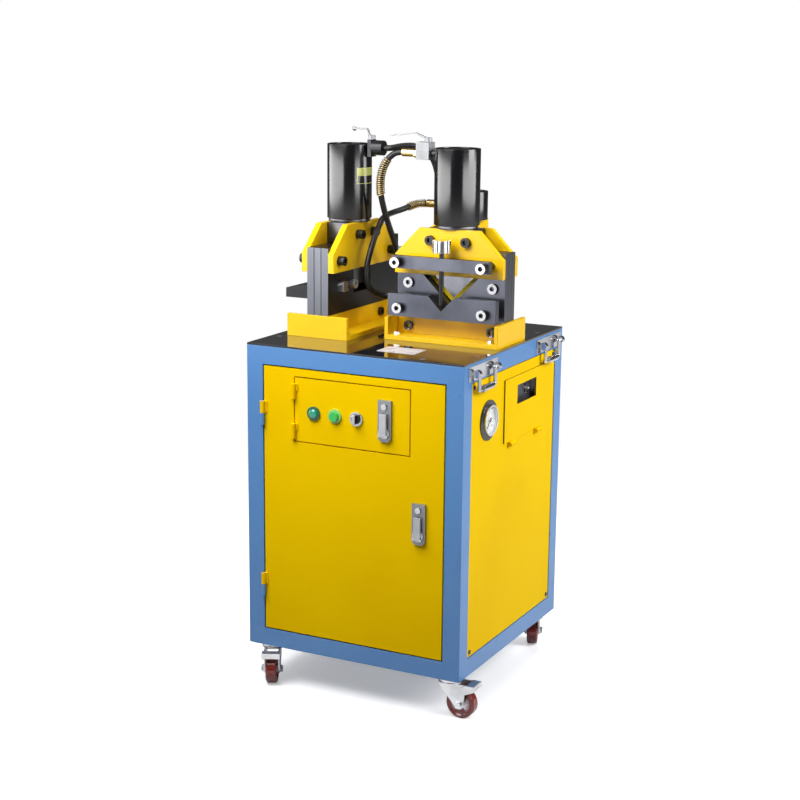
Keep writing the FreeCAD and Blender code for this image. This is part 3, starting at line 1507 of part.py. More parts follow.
def cutter_blade():
    """Moving blade of the cutter: a square corner pointing down, ground back along its two edges."""
    outline = [
        ("0", "blade_apex"),
        ("guide_half", "blade_apex + guide_half"),
        ("guide_half", "blade_top"),
        ("-guide_half", "blade_top"),
        ("-guide_half", "blade_apex + guide_half"),
    ]
    blank = plate("cutter_blank", "XZ", outline, BLADE_V)
    reach = "2 * guide_half"
    grounds = []
    turns = (("near", -45, ("-overrun", reach)), ("far", -135, ("-%s" % reach, "overrun")))
    for end, angle, span in turns:
        wedge = [
            ("bevel_wide", "0"),
            ("-overrun", "bevel_deep + bevel_deep * overrun / bevel_wide"),
            ("-overrun", "-overrun"),
            ("bevel_wide", "-overrun"),
        ]
        tool = group("cutter_ground_%s" % end, plate("cutter_wedge_" + end, "XY", wedge, span))
        grounds.append(place(tool, "0", BLADE_V[0], "blade_apex", ((0, 1, 0), angle)))
    return cut("cutter_blade", blank, fuse("cutter_grounds", *grounds))


def make_heads():
    """The angle cutter on the right and the notcher on the left, built from the same pieces."""
    vee = [
        ("0", "window_apex"),
        ("window_half", "window_apex + window_half"),
        ("-window_half", "window_apex + window_half"),
    ]
    square = rectangle(between("notch_u", "notch_half"), ("notch_low", "notch_high"))
    windows = {"right": vee, "left": square}
    bases = []
    stacks = []
    slabs = []
    cylinders = []
    for side in ("right", "left"):
        bases.append(at_head("base_%s_here" % side, side, head_base(side)))
        stacks.append(at_head("stack_%s_here" % side, side, *stack_plates(side, windows[side])))
        front = yoke_slab("slab_%s_front" % side, side, "stack_front - slab_thick")
        rear = yoke_slab("slab_%s_rear" % side, side, STACK_BACK)
        slabs.append(at_head("slabs_%s_here" % side, side, front, rear))
        cylinders.append(at_head("cylinder_%s_here" % side, side, *neck_and_barrel(side)))
    node("head_bases", *bases)
    node("stack_plates", *stacks)
    node("yoke_slabs", *slabs)
    cutter = fuse("cutter_solid", cutter_blade(), *piston_rod("cutter", "blade_top"))
    node("cutter_ram", at_head("cutter_here", "right", cutter))
    punch = block(
        "notcher_blade",
        between("0", "guide_half"),
        BLADE_V,
        ("notch_blade_low", "blade_top"),
    )
    notcher = fuse("notcher_solid", punch, *piston_rod("notcher", "blade_top"))
    node("notcher_ram", at_head("notcher_here", "left", notcher))
    return cylinders


def make_rests():
    """Grooved rest in front of the cutter, stop and back wedge of the notcher."""
    rest_back = "rest_front + rest_thick"
    notch_apex = "rest_top - rest_notch_half"
    outline = [
        ("-right_stack_half", "rest_low"),
        ("right_stack_half", "rest_low"),
        ("right_stack_half", "rest_top"),
        ("rest_notch_half", "rest_top"),
        ("0", notch_apex),
        ("-rest_notch_half", "rest_top"),
        ("-right_stack_half", "rest_top"),
    ]
    holes = [(sign + "rest_bolt_u", "rest_bolt_w", "stud_radius + stud_fit") for sign in ("-", "")]
    rest = plate("grooved_rest", "XZ", outline, ("rest_front", rest_back), holes)
    wedge_outline = [
        (STACK_BACK, "wedge_low"),
        (STACK_BACK + " + wedge_long", "wedge_low"),
        (STACK_BACK + " + wedge_long", "wedge_low + wedge_tip"),
        (STACK_BACK, "wedge_low + wedge_root"),
    ]
    wedge = plate("back_wedge", "YZ", wedge_outline, between("0", "left_stack_half"))
    stop = block(
        "notcher_stop",
        between("stop_u", "stop_size / 2"),
        ("stack_front - stop_thick", "stack_front"),
        between("stop_w", "stop_size / 2"),
    )
    pin_span = ("stop_u - stop_size / 2 - stop_pin_long", "stop_u")
    pin_spot = ("stack_front - stop_thick / 2", "stop_w + stop_size / 4")
    pin = rod("stop_pin", "x", "stop_pin_radius", pin_span, pin_spot)
    stops = at_head("stops_here", "left", wedge, fuse("pinned_stop", stop, pin))
    node("work_rests", at_head("rest_here", "right", rest), stops)


KNOB_FLUTES = 6


def make_hold_down():
    """Bar on long studs over the grooved rest, and the clamp screw through its middle."""
    outline = rectangle(between("0", "bar_half"), ("bar_low", "bar_low + bar_tall"))
    stud_w = "bar_low + bar_tall / 2"
    holes = [(sign + "stud_u", stud_w, "stud_radius + stud_fit") for sign in ("-", "")]
    bar = plate("bar_sheet", "XZ", outline, ("bar_front", "bar_front + bar_thick"), holes)
    middle = "bar_front + bar_thick / 2"
    bore_span = ("bar_low - overrun", "bar_low + bar_tall + overrun")
    bore = rod("bar_bore", "z", "screw_radius + screw_fit", bore_span, ("0", middle))
    node("hold_down_bar", at_head("bar_here", "right", cut("bar_cut", bar, bore)))
    shaft = rod("screw_shaft", "z", "screw_radius", ("screw_tip", "screw_neck"), ("0", middle))
    knob = rod("screw_knob", "z", "knob_radius", ("screw_neck", "screw_neck + knob_tall"), ("0", middle))
    flutes = []
    for index in range(KNOB_FLUTES):
        angle = 2 * math.pi * (index + 0.5) / KNOB_FLUTES
        u = "knob_radius * %.4f" % math.cos(angle)
        v = "%s + knob_radius * %.4f" % (middle, math.sin(angle))
        span = ("screw_neck - overrun", "screw_neck + knob_tall + overrun")
        flutes.append(rod("knob_flute_%d" % index, "z", "knob_flute_radius", span, (u, v)))
    star = cut("knob_star", knob, group("knob_flutes", *flutes))
    node("clamp_screw", at_head("screw_here", "right", fuse("screw_solid", shaft, star)))


def make_punch():
    """Punching head at the back: a yellow jaw on its foot, a die, a short cylinder and its ram."""
    spot = ("punch_x", "punch_y")
    half = "jaw_wide / 2"
    top = DECK + " + jaw_top"
    foot = block(
        "punch_foot",
        between("punch_x", "foot_wide / 2"),
        ("punch_y - jaw_back", "punch_y + foot_front"),
        (DECK, DECK + " + foot_thick"),
    )
    outline = [
        ("punch_y - jaw_back", DECK + " + foot_thick"),
        ("punch_y + jaw_front", DECK + " + foot_thick"),
        ("punch_y + jaw_front", DECK + " + throat_low"),
        ("punch_y - throat_back", DECK + " + throat_low"),
        ("punch_y - throat_back", DECK + " + throat_high"),
        ("punch_y + jaw_front", DECK + " + throat_high"),
        ("punch_y + jaw_front", top),
        ("punch_y - jaw_back + jaw_slope", top),
        ("punch_y - jaw_back", top + " - jaw_slope"),
    ]
    jaw = plate("punch_jaw_blank", "YZ", outline, between("punch_x", half))
    slug_span = (DECK + " + foot_thick - overrun", DECK + " + throat_low + overrun")
    ram_span = (DECK + " + throat_high - overrun", top + " + overrun")
    bores = group(
        "punch_bores",
        rod("slug_hole", "z", "slug_bore", (DECK + " + foot_thick", slug_span[1]), spot),
        rod("ram_hole", "z", "punch_rod_radius + rod_fit", ram_span, spot),
    )
    die_span = (DECK + " + throat_low", DECK + " + throat_low + die_tall")
    die = tube("punch_die", "z", ("die_radius", "die_bore"), die_span, spot)
    node("punch_frame", foot, cut("punch_jaw", jaw, bores), die)
    profile = [
        ("punch_rod_radius + rod_fit", "0"),
        ("punch_barrel_radius", "0"),
        ("punch_barrel_radius", "punch_barrel_tall - barrel_edge"),
        ("punch_barrel_radius - barrel_edge", "punch_barrel_tall"),
        ("0", "punch_barrel_tall"),
        ("0", "punch_barrel_tall - barrel_floor"),
        ("punch_bore", "punch_barrel_tall - barrel_floor"),
        ("punch_bore", "barrel_edge"),
        ("punch_rod_radius + rod_fit", "barrel_edge"),
    ]
    tube_solid = turned("punch_tube", profile, "z", top, spot)
    edge = "punch_x - punch_barrel_radius"
    nipple_span = (edge + " - punch_port_gap", edge + " + nipple_sink")
    nipple = rod("punch_nipple", "x", "nipple_radius", nipple_span, ("punch_y", DECK + " + punch_port_w"))
    barrel = fuse("punch_barrel", tube_solid, nipple)
    rod_low = DECK + " + punch_rod_low"
    piston_low = DECK + " + punch_piston_low"
    ram_top = piston_low + " + punch_piston_tall"
    ram = fuse(
        "punch_ram_solid",
        rod("punch_pin", "z", "punch_pin_radius", (DECK + " + punch_pin_low", rod_low), spot),
        rod("punch_rod", "z", "punch_rod_radius", (rod_low, ram_top), spot),
        rod("punch_piston", "z", "punch_bore - piston_fit", (piston_low, ram_top), spot),
    )
    node("punch_ram", ram)
    return barrel


def head_bolts(side):
    """Cap screws of a head: in the web, in the slabs and in the base, both faces alike."""
    slab_front = "stack_front - slab_thick"
    slab_back = STACK_BACK + " + slab_thick"
    top_u = side + "_top_bolt_u"
    side_u = side + "_side_bolt_u"
    deck_u = side + "_base_half - deck_bolt_edge"
    tall = side + "_bolt_tall"
    spots = (
        ("web", "web_bolt_u", "web_bolt_w", "stack_front", -1, "web_bolt_tall"),
        ("top", top_u, "top_bolt_w", slab_front, -1, tall),
        ("top_back", top_u, "top_bolt_w", slab_back, 1, tall),
        ("side_back", side_u, "side_bolt_w", slab_back, 1, tall),
    )
    pieces = []
    for end, sign in (("near", "-"), ("far", "")):
        name = "%s_%s" % (side, end)
        for label, u, w, seat, facing, high in spots:
            centre = ("%s(%s)" % (sign, u), w)
            head = "%s_%s" % (label, name)
            pieces.append(socket_bolt(head, "y", facing, "black_bolt_radius", high, seat, centre))
        for row, v in (("front", "-deck_bolt_v"), ("back", "deck_bolt_v")):
            centre = ("%s(%s)" % (sign, deck_u), v)
            span = ("base_floor", "base_floor + deck_bolt_tall")
            pieces.append(hexagon("deck_bolt_%s_%s" % (name, row), "z", "deck_bolt_radius", span, centre))
    return pieces


def make_fasteners():
    """Screws and bolts of the whole machine: identical ones are repeated as separate solids."""
    pieces = []
    for index, (x, y) in enumerate(deck_screw_spots()):
        pieces.append(rod("deck_screw_%d" % index, "z", "deck_screw_radius", (FRAME_TOP, DECK), (x, y)))
    half_tab = "(tube + tab_wide / 2)"
    levels = (OPEN_LOW + " + tab_wide / 2", OPEN_TOP + " - tab_wide / 2")
    for level, z in enumerate(levels):
        for y_sign in ("-", ""):
            y = "%s(cab_deep / 2 - %s)" % (y_sign, half_tab)
            right = (SIDE_FACE, SIDE_FACE + " + panel_screw_tall")
            left = ("-%s - panel_screw_tall" % SIDE_FACE, "-" + SIDE_FACE)
            name = "%d_%s" % (level, "front" if y_sign else "rear")
            pieces.append(rod("right_screw_" + name, "x", "panel_screw_radius", right, (y, z)))
            pieces.append(rod("left_screw_" + name, "x", "panel_screw_radius", left, (y, z)))
        for x_sign in ("-", ""):
            x = "%s(cab_wide / 2 - %s)" % (x_sign, half_tab)
            face = HALF_DEEP + " - panel_inset"
            name = "%d_%s" % (level, "left" if x_sign else "right")
            span = (face, face + " + panel_screw_tall")
            pieces.append(rod("back_screw_" + name, "y", "panel_screw_radius", span, (x, z)))
    slab_front = "stack_front - slab_thick"
    right = head_bolts("right")
    left = head_bolts("left")
    for end, sign in (("near", "-"), ("far", "")):
        spot = (sign + "stud_u", "bar_low + bar_tall / 2")
        shank = rod("stud_" + end, "y", "stud_radius", ("bar_front", slab_front), spot)
        cap = socket_bolt("stud_cap_" + end, "y", -1, "head_radius", "stud_head_tall", "bar_front", spot)
        right.append(fuse("bar_stud_" + end, shank, cap))
        spot = (sign + "rest_bolt_u", "rest_bolt_w")
        shank = rod("rest_shank_" + end, "y", "stud_radius", ("rest_front", "stack_front"), spot)
        cap = socket_bolt("rest_cap_" + end, "y", -1, "head_radius", "head_tall", "rest_front", spot)
        right.append(fuse("rest_bolt_" + end, shank, cap))
        spot = (sign + "rest_bolt_u", "body_bolt_w")
        ring = socket_bolt("body_bolt_" + end, "y", -1, "head_radius", "ring_tall", "stack_front", spot)
        right.append(ring)
        spot = (sign + "left_side_bolt_u", "side_bolt_w")
        name = "side_bolt_" + end
        left.append(
            socket_bolt(name, "y", -1, "black_bolt_radius", "left_bolt_tall", slab_front, spot)
        )
    spot = ("stop_bolt_u", "stop_w")
    left.append(socket_bolt("stop_bolt", "y", -1, "black_bolt_radius", "head_tall", "stack_front", spot))
    node("fasteners", at_head("bolts_right", "right", *right), at_head("bolts_left", "left", *left), *pieces)


RIGHT_VALVE_X = "(right_x - barrel_outer - valve_gap)"
LEFT_VALVE_X = "(left_x - %s + barrel_outer + left_valve_gap)" % STACK_MID
RIGHT_VALVE_Y = "(right_y + %s)" % STACK_MID
VALVE_TOP = "(%s + valve_low + valve_tall)" % DECK


def ferrule(name, axis, sign, start, long, centre):
    """Hexagon nut and the crimped sleeve of a hose end, leaving a face towards sign."""
    step = "+" if sign > 0 else "-"
    nut_end = "(%s) %s ferrule_nut_long" % (start, step)
    tip = "%s %s %s" % (nut_end, step, long)
    nut_span = (start, nut_end) if sign > 0 else (nut_end, start)
    sleeve_span = (nut_end, tip) if sign > 0 else (tip, nut_end)
    nut = hexagon(name + "_nut", axis, "ferrule_nut_radius", nut_span, centre)
    sleeve = rod(name + "_sleeve", axis, "ferrule_radius", sleeve_span, centre)
    return fuse(name + "_ferrule", nut, sleeve)


def make_valves():
    """Shut-off valve beside each big cylinder, and the bent lever on its stem."""
    low = DECK + " + valve_low"
    right_x = (RIGHT_VALVE_X + " - valve_wide", RIGHT_VALVE_X)
    body = block("right_valve_block", right_x, between(RIGHT_VALVE_Y, "valve_deep / 2"), (low, VALVE_TOP))
    left_x = (LEFT_VALVE_X, LEFT_VALVE_X + " + left_valve_wide")
    left_body = block("left_valve_block", left_x, between("left_y", "left_valve_deep / 2"), (low, VALVE_TOP))
    coupler_span = (left_x[1], left_x[1] + " + coupler_long")
    coupler_spot = ("left_y", DECK + " + left_port_w")
    coupler = rod("left_coupler", "x", "coupler_radius", coupler_span, coupler_spot)
    solids = []
    hubs = (
        ("right", body, "%s - lever_hub_radius" % right_x[1], RIGHT_VALVE_Y),
        ("left", left_body, "%s + left_valve_wide / 2" % left_x[0], "left_y"),
    )
    hub_low = VALVE_TOP + " + touch_gap"
    hub_top = "(%s + hub_tall)" % hub_low
    for side, base, x, y in hubs:
        stem = rod(side + "_stem", "z", "stem_radius", (low, hub_top), (x, y))
        solids.append(fuse(side + "_valve", base, stem))
        long = side + "_lever_long"
        knee = side + "_lever_knee"
        rise = side + "_lever_rise"
        drop = "right_lever_drop" if side == "right" else "0"
        strip_low = "%s - valve_lever_thick" % hub_top
        outline = [
            ("%s + lever_hub_radius / 2" % x, strip_low),
            ("%s + lever_hub_radius / 2" % x, hub_top),
            ("%s - lever_hub_radius / 2" % x, hub_top),
            ("%s - %s" % (x, knee), "%s + %s" % (hub_top, rise)),
            ("%s - %s" % (x, long), "%s + %s - %s" % (hub_top, rise, drop)),
            ("%s - %s" % (x, long), "%s + %s - %s" % (strip_low, rise, drop)),
            ("%s - %s + valve_lever_thick" % (x, knee), "%s + %s" % (strip_low, rise)),
            ("%s - lever_hub_radius / 2 - valve_lever_thick" % x, strip_low),
        ]
        arm = plate(side + "_lever_arm", "XZ", outline, between(y, "valve_lever_wide / 2"))
        hub = rod(side + "_lever_hub", "z", "lever_hub_radius", (hub_low, hub_top), (x, y))
        pieces = [arm, hub]
        if side == "left":
            knob_z = "%s + %s - valve_lever_thick / 2" % (hub_top, rise)
            pieces.append(ball("left_lever_ball", "lever_ball_radius", "%s - %s" % (x, long), y, knob_z))
        bore_span = (low, hub_top + " + overrun")
        bore = rod(side + "_lever_bore", "z", "stem_radius + stem_fit", bore_span, (x, y))
        node("valve_lever_" + side, cut(side + "_lever_cut", fuse(side + "_lever_solid", *pieces), bore))
    right_spot = (RIGHT_VALVE_Y, DECK + " + right_port_w")
    solids.append(coupler)
    solids.append(ferrule("right", "x", -1, right_x[0], "ferrule_long", right_spot))
    return solids


def make_fittings():
    """Valve blocks, hose ends, bulkheads in the deck and the cable gland in the rear panel."""
    solids = make_valves()
    punch_start = "punch_x - punch_barrel_radius - punch_port_gap"
    punch_spot = ("punch_y", DECK + " + punch_port_w")
    solids.append(ferrule("punch", "x", -1, punch_start, "punch_ferrule", punch_spot))
    for label, x, y in BULKHEADS:
        name = "bulkhead_" + label
        collar_top = DECK + " + bulkhead_tall"
        thread_low = FRAME_TOP + " - bulkhead_under"
        end_span = (collar_top, collar_top + " + bulkhead_ferrule")
        nut_span = (FRAME_TOP + " - bulkhead_nut_tall", FRAME_TOP)
        collar = hexagon(name + "_collar", "z", "bulkhead_radius", (DECK, collar_top), (x, y))
        thread = rod(name + "_thread", "z", "bulkhead_thread", (thread_low, DECK), (x, y))
        sleeve = rod(name + "_sleeve", "z", "ferrule_radius", end_span, (x, y))
        nut = hexagon(name + "_nut", "z", "bulkhead_radius", nut_span, (x, y))
        solids.append(fuse(name, collar, thread, sleeve, nut))
    face = HALF_DEEP + " - panel_inset"
    inside = face + " - panel_thick"
    spot = ("gland_x", "gland_z")
    dome = rod("gland_dome", "y", "gland_radius", (face, face + " + gland_proud"), spot)
    stem = rod("gland_stem", "y", "gland_stem_radius", (inside + " - gland_inside", face), spot)
    nut = hexagon("gland_nut", "y", "gland_nut_radius", (inside + " - gland_nut_tall", inside), spot)
    bore_span = (inside + " - gland_inside - overrun", face + " + gland_proud + overrun")
    bore = rod("gland_passage", "y", "gland_bore", bore_span, spot)
    solids.append(cut("cable_gland", fuse("gland_solid", dome, stem, nut), bore))
    node("fittings", *solids)


def corner_arc(start, corner, end):
    """Arc that leaves start and reaches end along the two equal runs that meet in the corner."""
    middle = (start + end) * 0.5
    reach = (start - corner).Length
    half = (start - corner).getAngle(middle - corner)
    inward = FreeCAD.Vector(middle - corner).normalize()
    top = corner + inward * (reach / math.cos(half) - reach * math.tan(half))
    return Part.Arc(start, top, end).toShape()


def hose_path(label):
    """Straight runs joined by tangent arcs: 0.45 of the shorter run goes into each arc."""
    points = [FreeCAD.Vector(*point) for point in HOSE_ROUTES[label]]
    edges = []
    radii = []
    last = points[0]
    for before, corner, after in zip(points, points[1:], points[2:]):
        back = FreeCAD.Vector(before - corner)
        ahead = FreeCAD.Vector(after - corner)
        reach = 0.45 * min(back.Length, ahead.Length)
        start = corner + back.normalize() * reach
        end = corner + ahead.normalize() * reach
        half_turn = (math.pi - back.getAngle(ahead)) / 2
        radii.append(round(reach / math.tan(half_turn)))
        edges.append(Part.LineSegment(last, start).toShape())
        edges.append(corner_arc(start, corner, end))
        last = end
    edges.append(Part.LineSegment(last, points[-1]).toShape())
    print(label, "radii", radii)
    return edges


def swept(label, edges, radius):
    """Round tube along a chain of edges, checked against its section times its length."""
    path = Part.Wire(edges)
    start = edges[0].valueAt(edges[0].FirstParameter)
    ring = Part.makeCircle(radius, start, edges[0].tangentAt(edges[0].FirstParameter))
    shape = path.makePipeShell([Part.Wire(ring)], True)
    item = DOC.addObject("Part::Feature", label + "_tube")
    item.Shape = shape
    item.Placement = FreeCAD.Placement()
    expected = math.pi * radius * radius * path.Length
    print(label, "length %.1f" % path.Length, "volume share %.4f" % (shape.Volume / expected))
    return item


def spot_on(edges, distance):
    """Place and direction on a chain of edges, at a distance from its start."""
    left = distance
    for edge in edges:
        if left <= edge.Length:
            break
        left -= edge.Length
    where = edge.getParameterByLength(min(left, edge.Length))
    return edge.valueAt(where), FreeCAD.Vector(edge.tangentAt(where)).normalize()


def spring_path(edges, start, long):
    """Coil of round wire about a hose: quarter turns as pairs of tangent arcs."""
    coil = number("hose_radius + guard_gap + guard_wire")
    pitch = number("guard_pitch")
    quarters = 4 * int(long / pitch)
    steps = 8
    side = FreeCAD.Vector(0, 1, 0)
    places = []
    for index in range(-1, quarters * steps + 2):
        spot, ahead = spot_on(edges, start + pitch * index / (4 * steps))
        side = FreeCAD.Vector(side - ahead * side.dot(ahead)).normalize()
        angle = math.pi * index / (2 * steps)
        other = ahead.cross(side)
        places.append(spot + side * (coil * math.cos(angle)) + other * (coil * math.sin(angle)))
    knots = []
    for index in range(quarters + 1):
        at = index * steps + 1
        knots.append((places[at], FreeCAD.Vector(places[at + 1] - places[at - 1]).normalize()))
    gap = min(
        (places[first] - places[second]).Length
        for first in range(len(places))
        for second in range(first + 3 * steps, min(first + 6 * steps, len(places)))
    )
    print("spring of", quarters // 4, "curls, least gap to itself %.2f" % (gap - 2 * number("guard_wire")))
    arcs = []
    for (first, leaving), (second, arriving) in zip(knots, knots[1:]):
        span = second - first
        both = leaving + arriving
        bend = 2 * (1 - leaving.dot(arriving))
        pull = span.dot(both)
        reach = (math.sqrt(pull * pull + bend * span.dot(span)) - pull) / bend
        near = first + leaving * reach
        far = second - arriving * reach
        joint = (near + far) * 0.5
        arcs.append(corner_arc(first, near, joint))
        arcs.append(corner_arc(joint, far, second))
    return arcs


def make_hoses():
    """The three hoses and the spring guards that keep two of them from kinking."""
    paths = {}
    for label in HOSE_ROUTES:
        paths[label] = hose_path(label)
        node(label, swept(label, paths[label], number("hose_radius")))
    guards = []
    for side in ("right", "punch"):
        start = number(side + "_guard_start")
        long = number(side + "_guard_long")
        arcs = spring_path(paths["hose_" + side], start, long)
        guards.append(swept(side + "_guard", arcs, number("guard_wire")))
    node("hose_guards", *guards)


def main():
    fill_sheet()
    make_frame()
    make_deck()
    make_panels()
    make_main_door()
    make_control_door()
    make_switches()
    make_lock("door_lock", DOOR_LOCK_X, "door_lock_low")
    make_lock("control_lock", CONTROL_LOCK_X, "control_lock_low")
    make_gauge()
    make_flap()
    make_breaker()
    make_handles()
    make_casters()
    make_power_pack()
    cylinders = make_heads()
    make_rests()
    make_hold_down()
    cylinders.append(make_punch())
    node("cylinders", *cylinders)
    make_fasteners()
    make_fittings()
    make_hoses()
    DOC.recompute()
    export()


def export():
    """Checks every object and writes one file for each sub-part."""
    for item in DOC.Objects:
        if "Invalid" in item.State or "Error" in item.State:
            raise RuntimeError("not built: " + item.Name)
    os.makedirs("parts", exist_ok=True)
    labels = [part.Label for part in NODES]
    if len(set(labels)) < len(labels):
        raise RuntimeError("a sub-part's name is used twice")
    for part in NODES:
        shape = part.Shape
        if shape.isNull() or not shape.isValid() or not shape.Solids:
            raise RuntimeError("not a valid solid: " + part.Label)
        shape.exportStep("parts/%s.step" % part.Label)
    print(len(NODES), "sub-parts")


main()
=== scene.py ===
import math

import bmesh
import bpy
from mathutils import Matrix, Vector


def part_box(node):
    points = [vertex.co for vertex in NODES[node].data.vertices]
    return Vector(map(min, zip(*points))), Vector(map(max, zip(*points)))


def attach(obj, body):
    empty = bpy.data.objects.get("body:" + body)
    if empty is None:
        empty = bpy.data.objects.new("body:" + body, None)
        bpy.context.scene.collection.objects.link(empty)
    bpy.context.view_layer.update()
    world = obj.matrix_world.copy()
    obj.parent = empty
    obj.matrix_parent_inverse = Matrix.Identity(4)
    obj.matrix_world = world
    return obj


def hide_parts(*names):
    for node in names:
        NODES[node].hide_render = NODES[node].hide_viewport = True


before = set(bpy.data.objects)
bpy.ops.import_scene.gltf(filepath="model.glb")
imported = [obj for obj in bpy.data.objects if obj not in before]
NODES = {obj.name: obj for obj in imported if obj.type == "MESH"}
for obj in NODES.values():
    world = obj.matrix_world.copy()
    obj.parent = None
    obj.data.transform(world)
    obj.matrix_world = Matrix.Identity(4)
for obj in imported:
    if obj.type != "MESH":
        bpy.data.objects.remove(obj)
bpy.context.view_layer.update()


# Camera: it stands where the photograph's did, to the right of the machine and above it, with
# a slight roll; its lens and place were solved from the cabinet's edges.
AZIMUTH, HEIGHT_ANGLE, ROLL = (math.radians(angle) for angle in (27.0014, 12.4084, 0.5632))
CAMERA_SPOT = (1.58287, -3.14896, 1.37702)
LENS, SENSOR = 74.8133, 36
back = Vector((
    math.sin(AZIMUTH) * math.cos(HEIGHT_ANGLE),
    -math.cos(AZIMUTH) * math.cos(HEIGHT_ANGLE),
    math.sin(HEIGHT_ANGLE),
))
level = Vector((0, 0, 1)).cross(back).normalized()
above = back.cross(level)
across = level * math.cos(ROLL) + above * math.sin(ROLL)
rise = above * math.cos(ROLL) - level * math.sin(ROLL)
lens = bpy.data.cameras.new("camera")
lens.sensor_width = SENSOR
lens.lens = LENS
camera = bpy.data.objects.new("camera", lens)
bpy.context.scene.collection.objects.link(camera)
facing = Matrix((across, rise, back)).transposed().to_4x4()
camera.matrix_world = Matrix.Translation(CAMERA_SPOT) @ facing
bpy.context.scene.camera = camera


# Hoses: rubber with a steel braid inside, crimped into sleeves at their upper ends and led down
# to bulkheads in the deck; each hangs in its own loose curve, and the right and the punch's
# one start in a guard of coiled spring wire.
MM = 0.001
HOSE_RADIUS = 6.5
GUARD_WIRE, GUARD_PITCH, GUARD_COIL = 1.2, 4.6, 8.3
POINTS_PER_TURN = 14
ROUTES = {
    "hose_right": (
        (-17, -5.8, 1135), (-25, -5.8, 1135), (-39, -8, 1131), (-54, -14, 1115), (-66, -14, 1086),
        (-71, -6, 1050), (-70, 8, 1014), (-67, 24, 979), (-63, 43, 943), (-60, 61, 906),
        (-56, 77, 868), (-51, 89, 835), (-46.5, 95, 806), (-45, 98, 784), (-45, 98, 775),
    ),
    "hose_left": (
        (-66, 1, 1141), (-58, 1, 1141), (-47, 4.5, 1142), (-33, 17, 1146), (-14, 37, 1147),
        (3, 56, 1138), (16, 72, 1118), (22, 82, 1086), (24, 88, 1046), (23, 89, 1005),
        (21, 88, 960), (19, 89, 915), (16, 89.5, 870), (13, 89, 820), (12, 88, 784),
        (12, 88, 775),
    ),
    "hose_punch": (
        (-45, 172, 1011), (-53, 172, 1011), (-64, 168.5, 1010), (-74, 160, 1007), (-80, 152, 1004),
        (-90, 135, 998), (-98, 113, 994), (-101, 91, 991), (-99, 69, 988), (-94, 48, 985),
        (-88, 28, 978), (-85, 7, 963), (-85, -14, 936), (-86, -29, 909), (-87, -37, 882),
        (-86, -36, 858), (-82, -25, 839), (-73, -9, 829), (-62, 11, 824), (-52, 31, 817),
        (-47, 46, 805), (-45, 56.5, 792), (-45, 58, 783), (-45, 58, 775),
    ),
}


class Value:
    """A number or colour that varies over a surface: sums and products of numbers add nodes."""

    def __init__(self, nodes, socket):
        self.nodes = nodes
        self.socket = socket

    def maths(self, operation, *values):
        return self.nodes.add("ShaderNodeMath", {"operation": operation}, values)

    def __add__(self, other):
        return self.maths("ADD", self, other)

    def __mul__(self, other):
        return self.maths("MULTIPLY", self, other)

    def __sub__(self, other):
        return self.maths("SUBTRACT", self, other)

    def __rsub__(self, other):
        return self.maths("SUBTRACT", other, self)

    def __abs__(self):
        return self.maths("ABSOLUTE", self)

    __radd__ = __add__
    __rmul__ = __mul__

    def between(self, low, high):
        """0 below low, 1 above high and smooth in the middle."""
        inputs = {"Value": self, "From Min": low, "From Max": high}
        return self.nodes.add("ShaderNodeMapRange", {"interpolation_type": "SMOOTHSTEP"}, inputs)

    def about(self, level, spread):
        """The level, give or take half the spread, as this noise goes up and down."""
        return level + (self - 0.5) * spread


class Nodes:
    """The nodes of a material or of the world."""

    def __init__(self, owner):
        owner.use_nodes = True
        self.tree = owner.node_tree

    def add(self, kind, settings, inputs, output=0):
        node = self.tree.nodes.new(kind)
        for name, value in settings.items():
            setattr(node, name, value)
        pairs = inputs.items() if isinstance(inputs, dict) else enumerate(inputs)
        for key, value in pairs:
            if isinstance(value, Value):
                self.link(value, node.inputs[key])
            else:
                node.inputs[key].default_value = value
        return Value(self, node.outputs[output])

    def link(self, value, socket):
        self.tree.links.new(value.socket, socket)

    def ray(self, kind):
        return self.add("ShaderNodeLightPath", {}, (), kind)


class Finish(Nodes):
    """One surface finish: its shader's own sockets are set first, then what varies is fed in."""

    def __init__(self, name, **sockets):
        self.material = bpy.data.materials.new(name)
        super().__init__(self.material)
        self.surface = self.tree.nodes["Principled BSDF"]
        for socket, value in sockets.items():
            setting = (*value, 1) if isinstance(value, tuple) else value
            self.surface.inputs[socket.replace("_", " ")].default_value = setting

    def feed(self, socket, value):
        self.link(value, self.surface.inputs[socket])

    def place(self):
        return self.add("ShaderNodeTexCoord", {}, (), "Object")

    def noise(self, scale, detail=2.0, roughness=0.5, where=None):
        where = where or self.place()
        inputs = {"Vector": where, "Scale": scale, "Detail": detail, "Roughness": roughness}
        return self.add("ShaderNodeTexNoise", {}, inputs)

    def mix(self, factor, first, second):
        """Colour between two colours, each a tuple or a value."""
        factor_in, first_in, second_in, color_out = 0, 6, 7, 2
        first, second = (part if isinstance(part, Value) else (*part, 1) for part in (first, second))
        inputs = {factor_in: factor, first_in: first, second_in: second}
        return self.add("ShaderNodeMix", {"data_type": "RGBA"}, inputs, color_out)

    def relief(self, height, depth, edge=0.0, strength=1.0):
        """Bump over a surface whose sharp edges look eased by the given radius."""
        inputs = {"Height": height, "Distance": depth, "Strength": strength}
        if edge:
            inputs["Normal"] = self.add("ShaderNodeBevel", {"samples": 4}, {"Radius": edge})
        self.feed("Normal", self.add("ShaderNodeBump", {}, inputs))


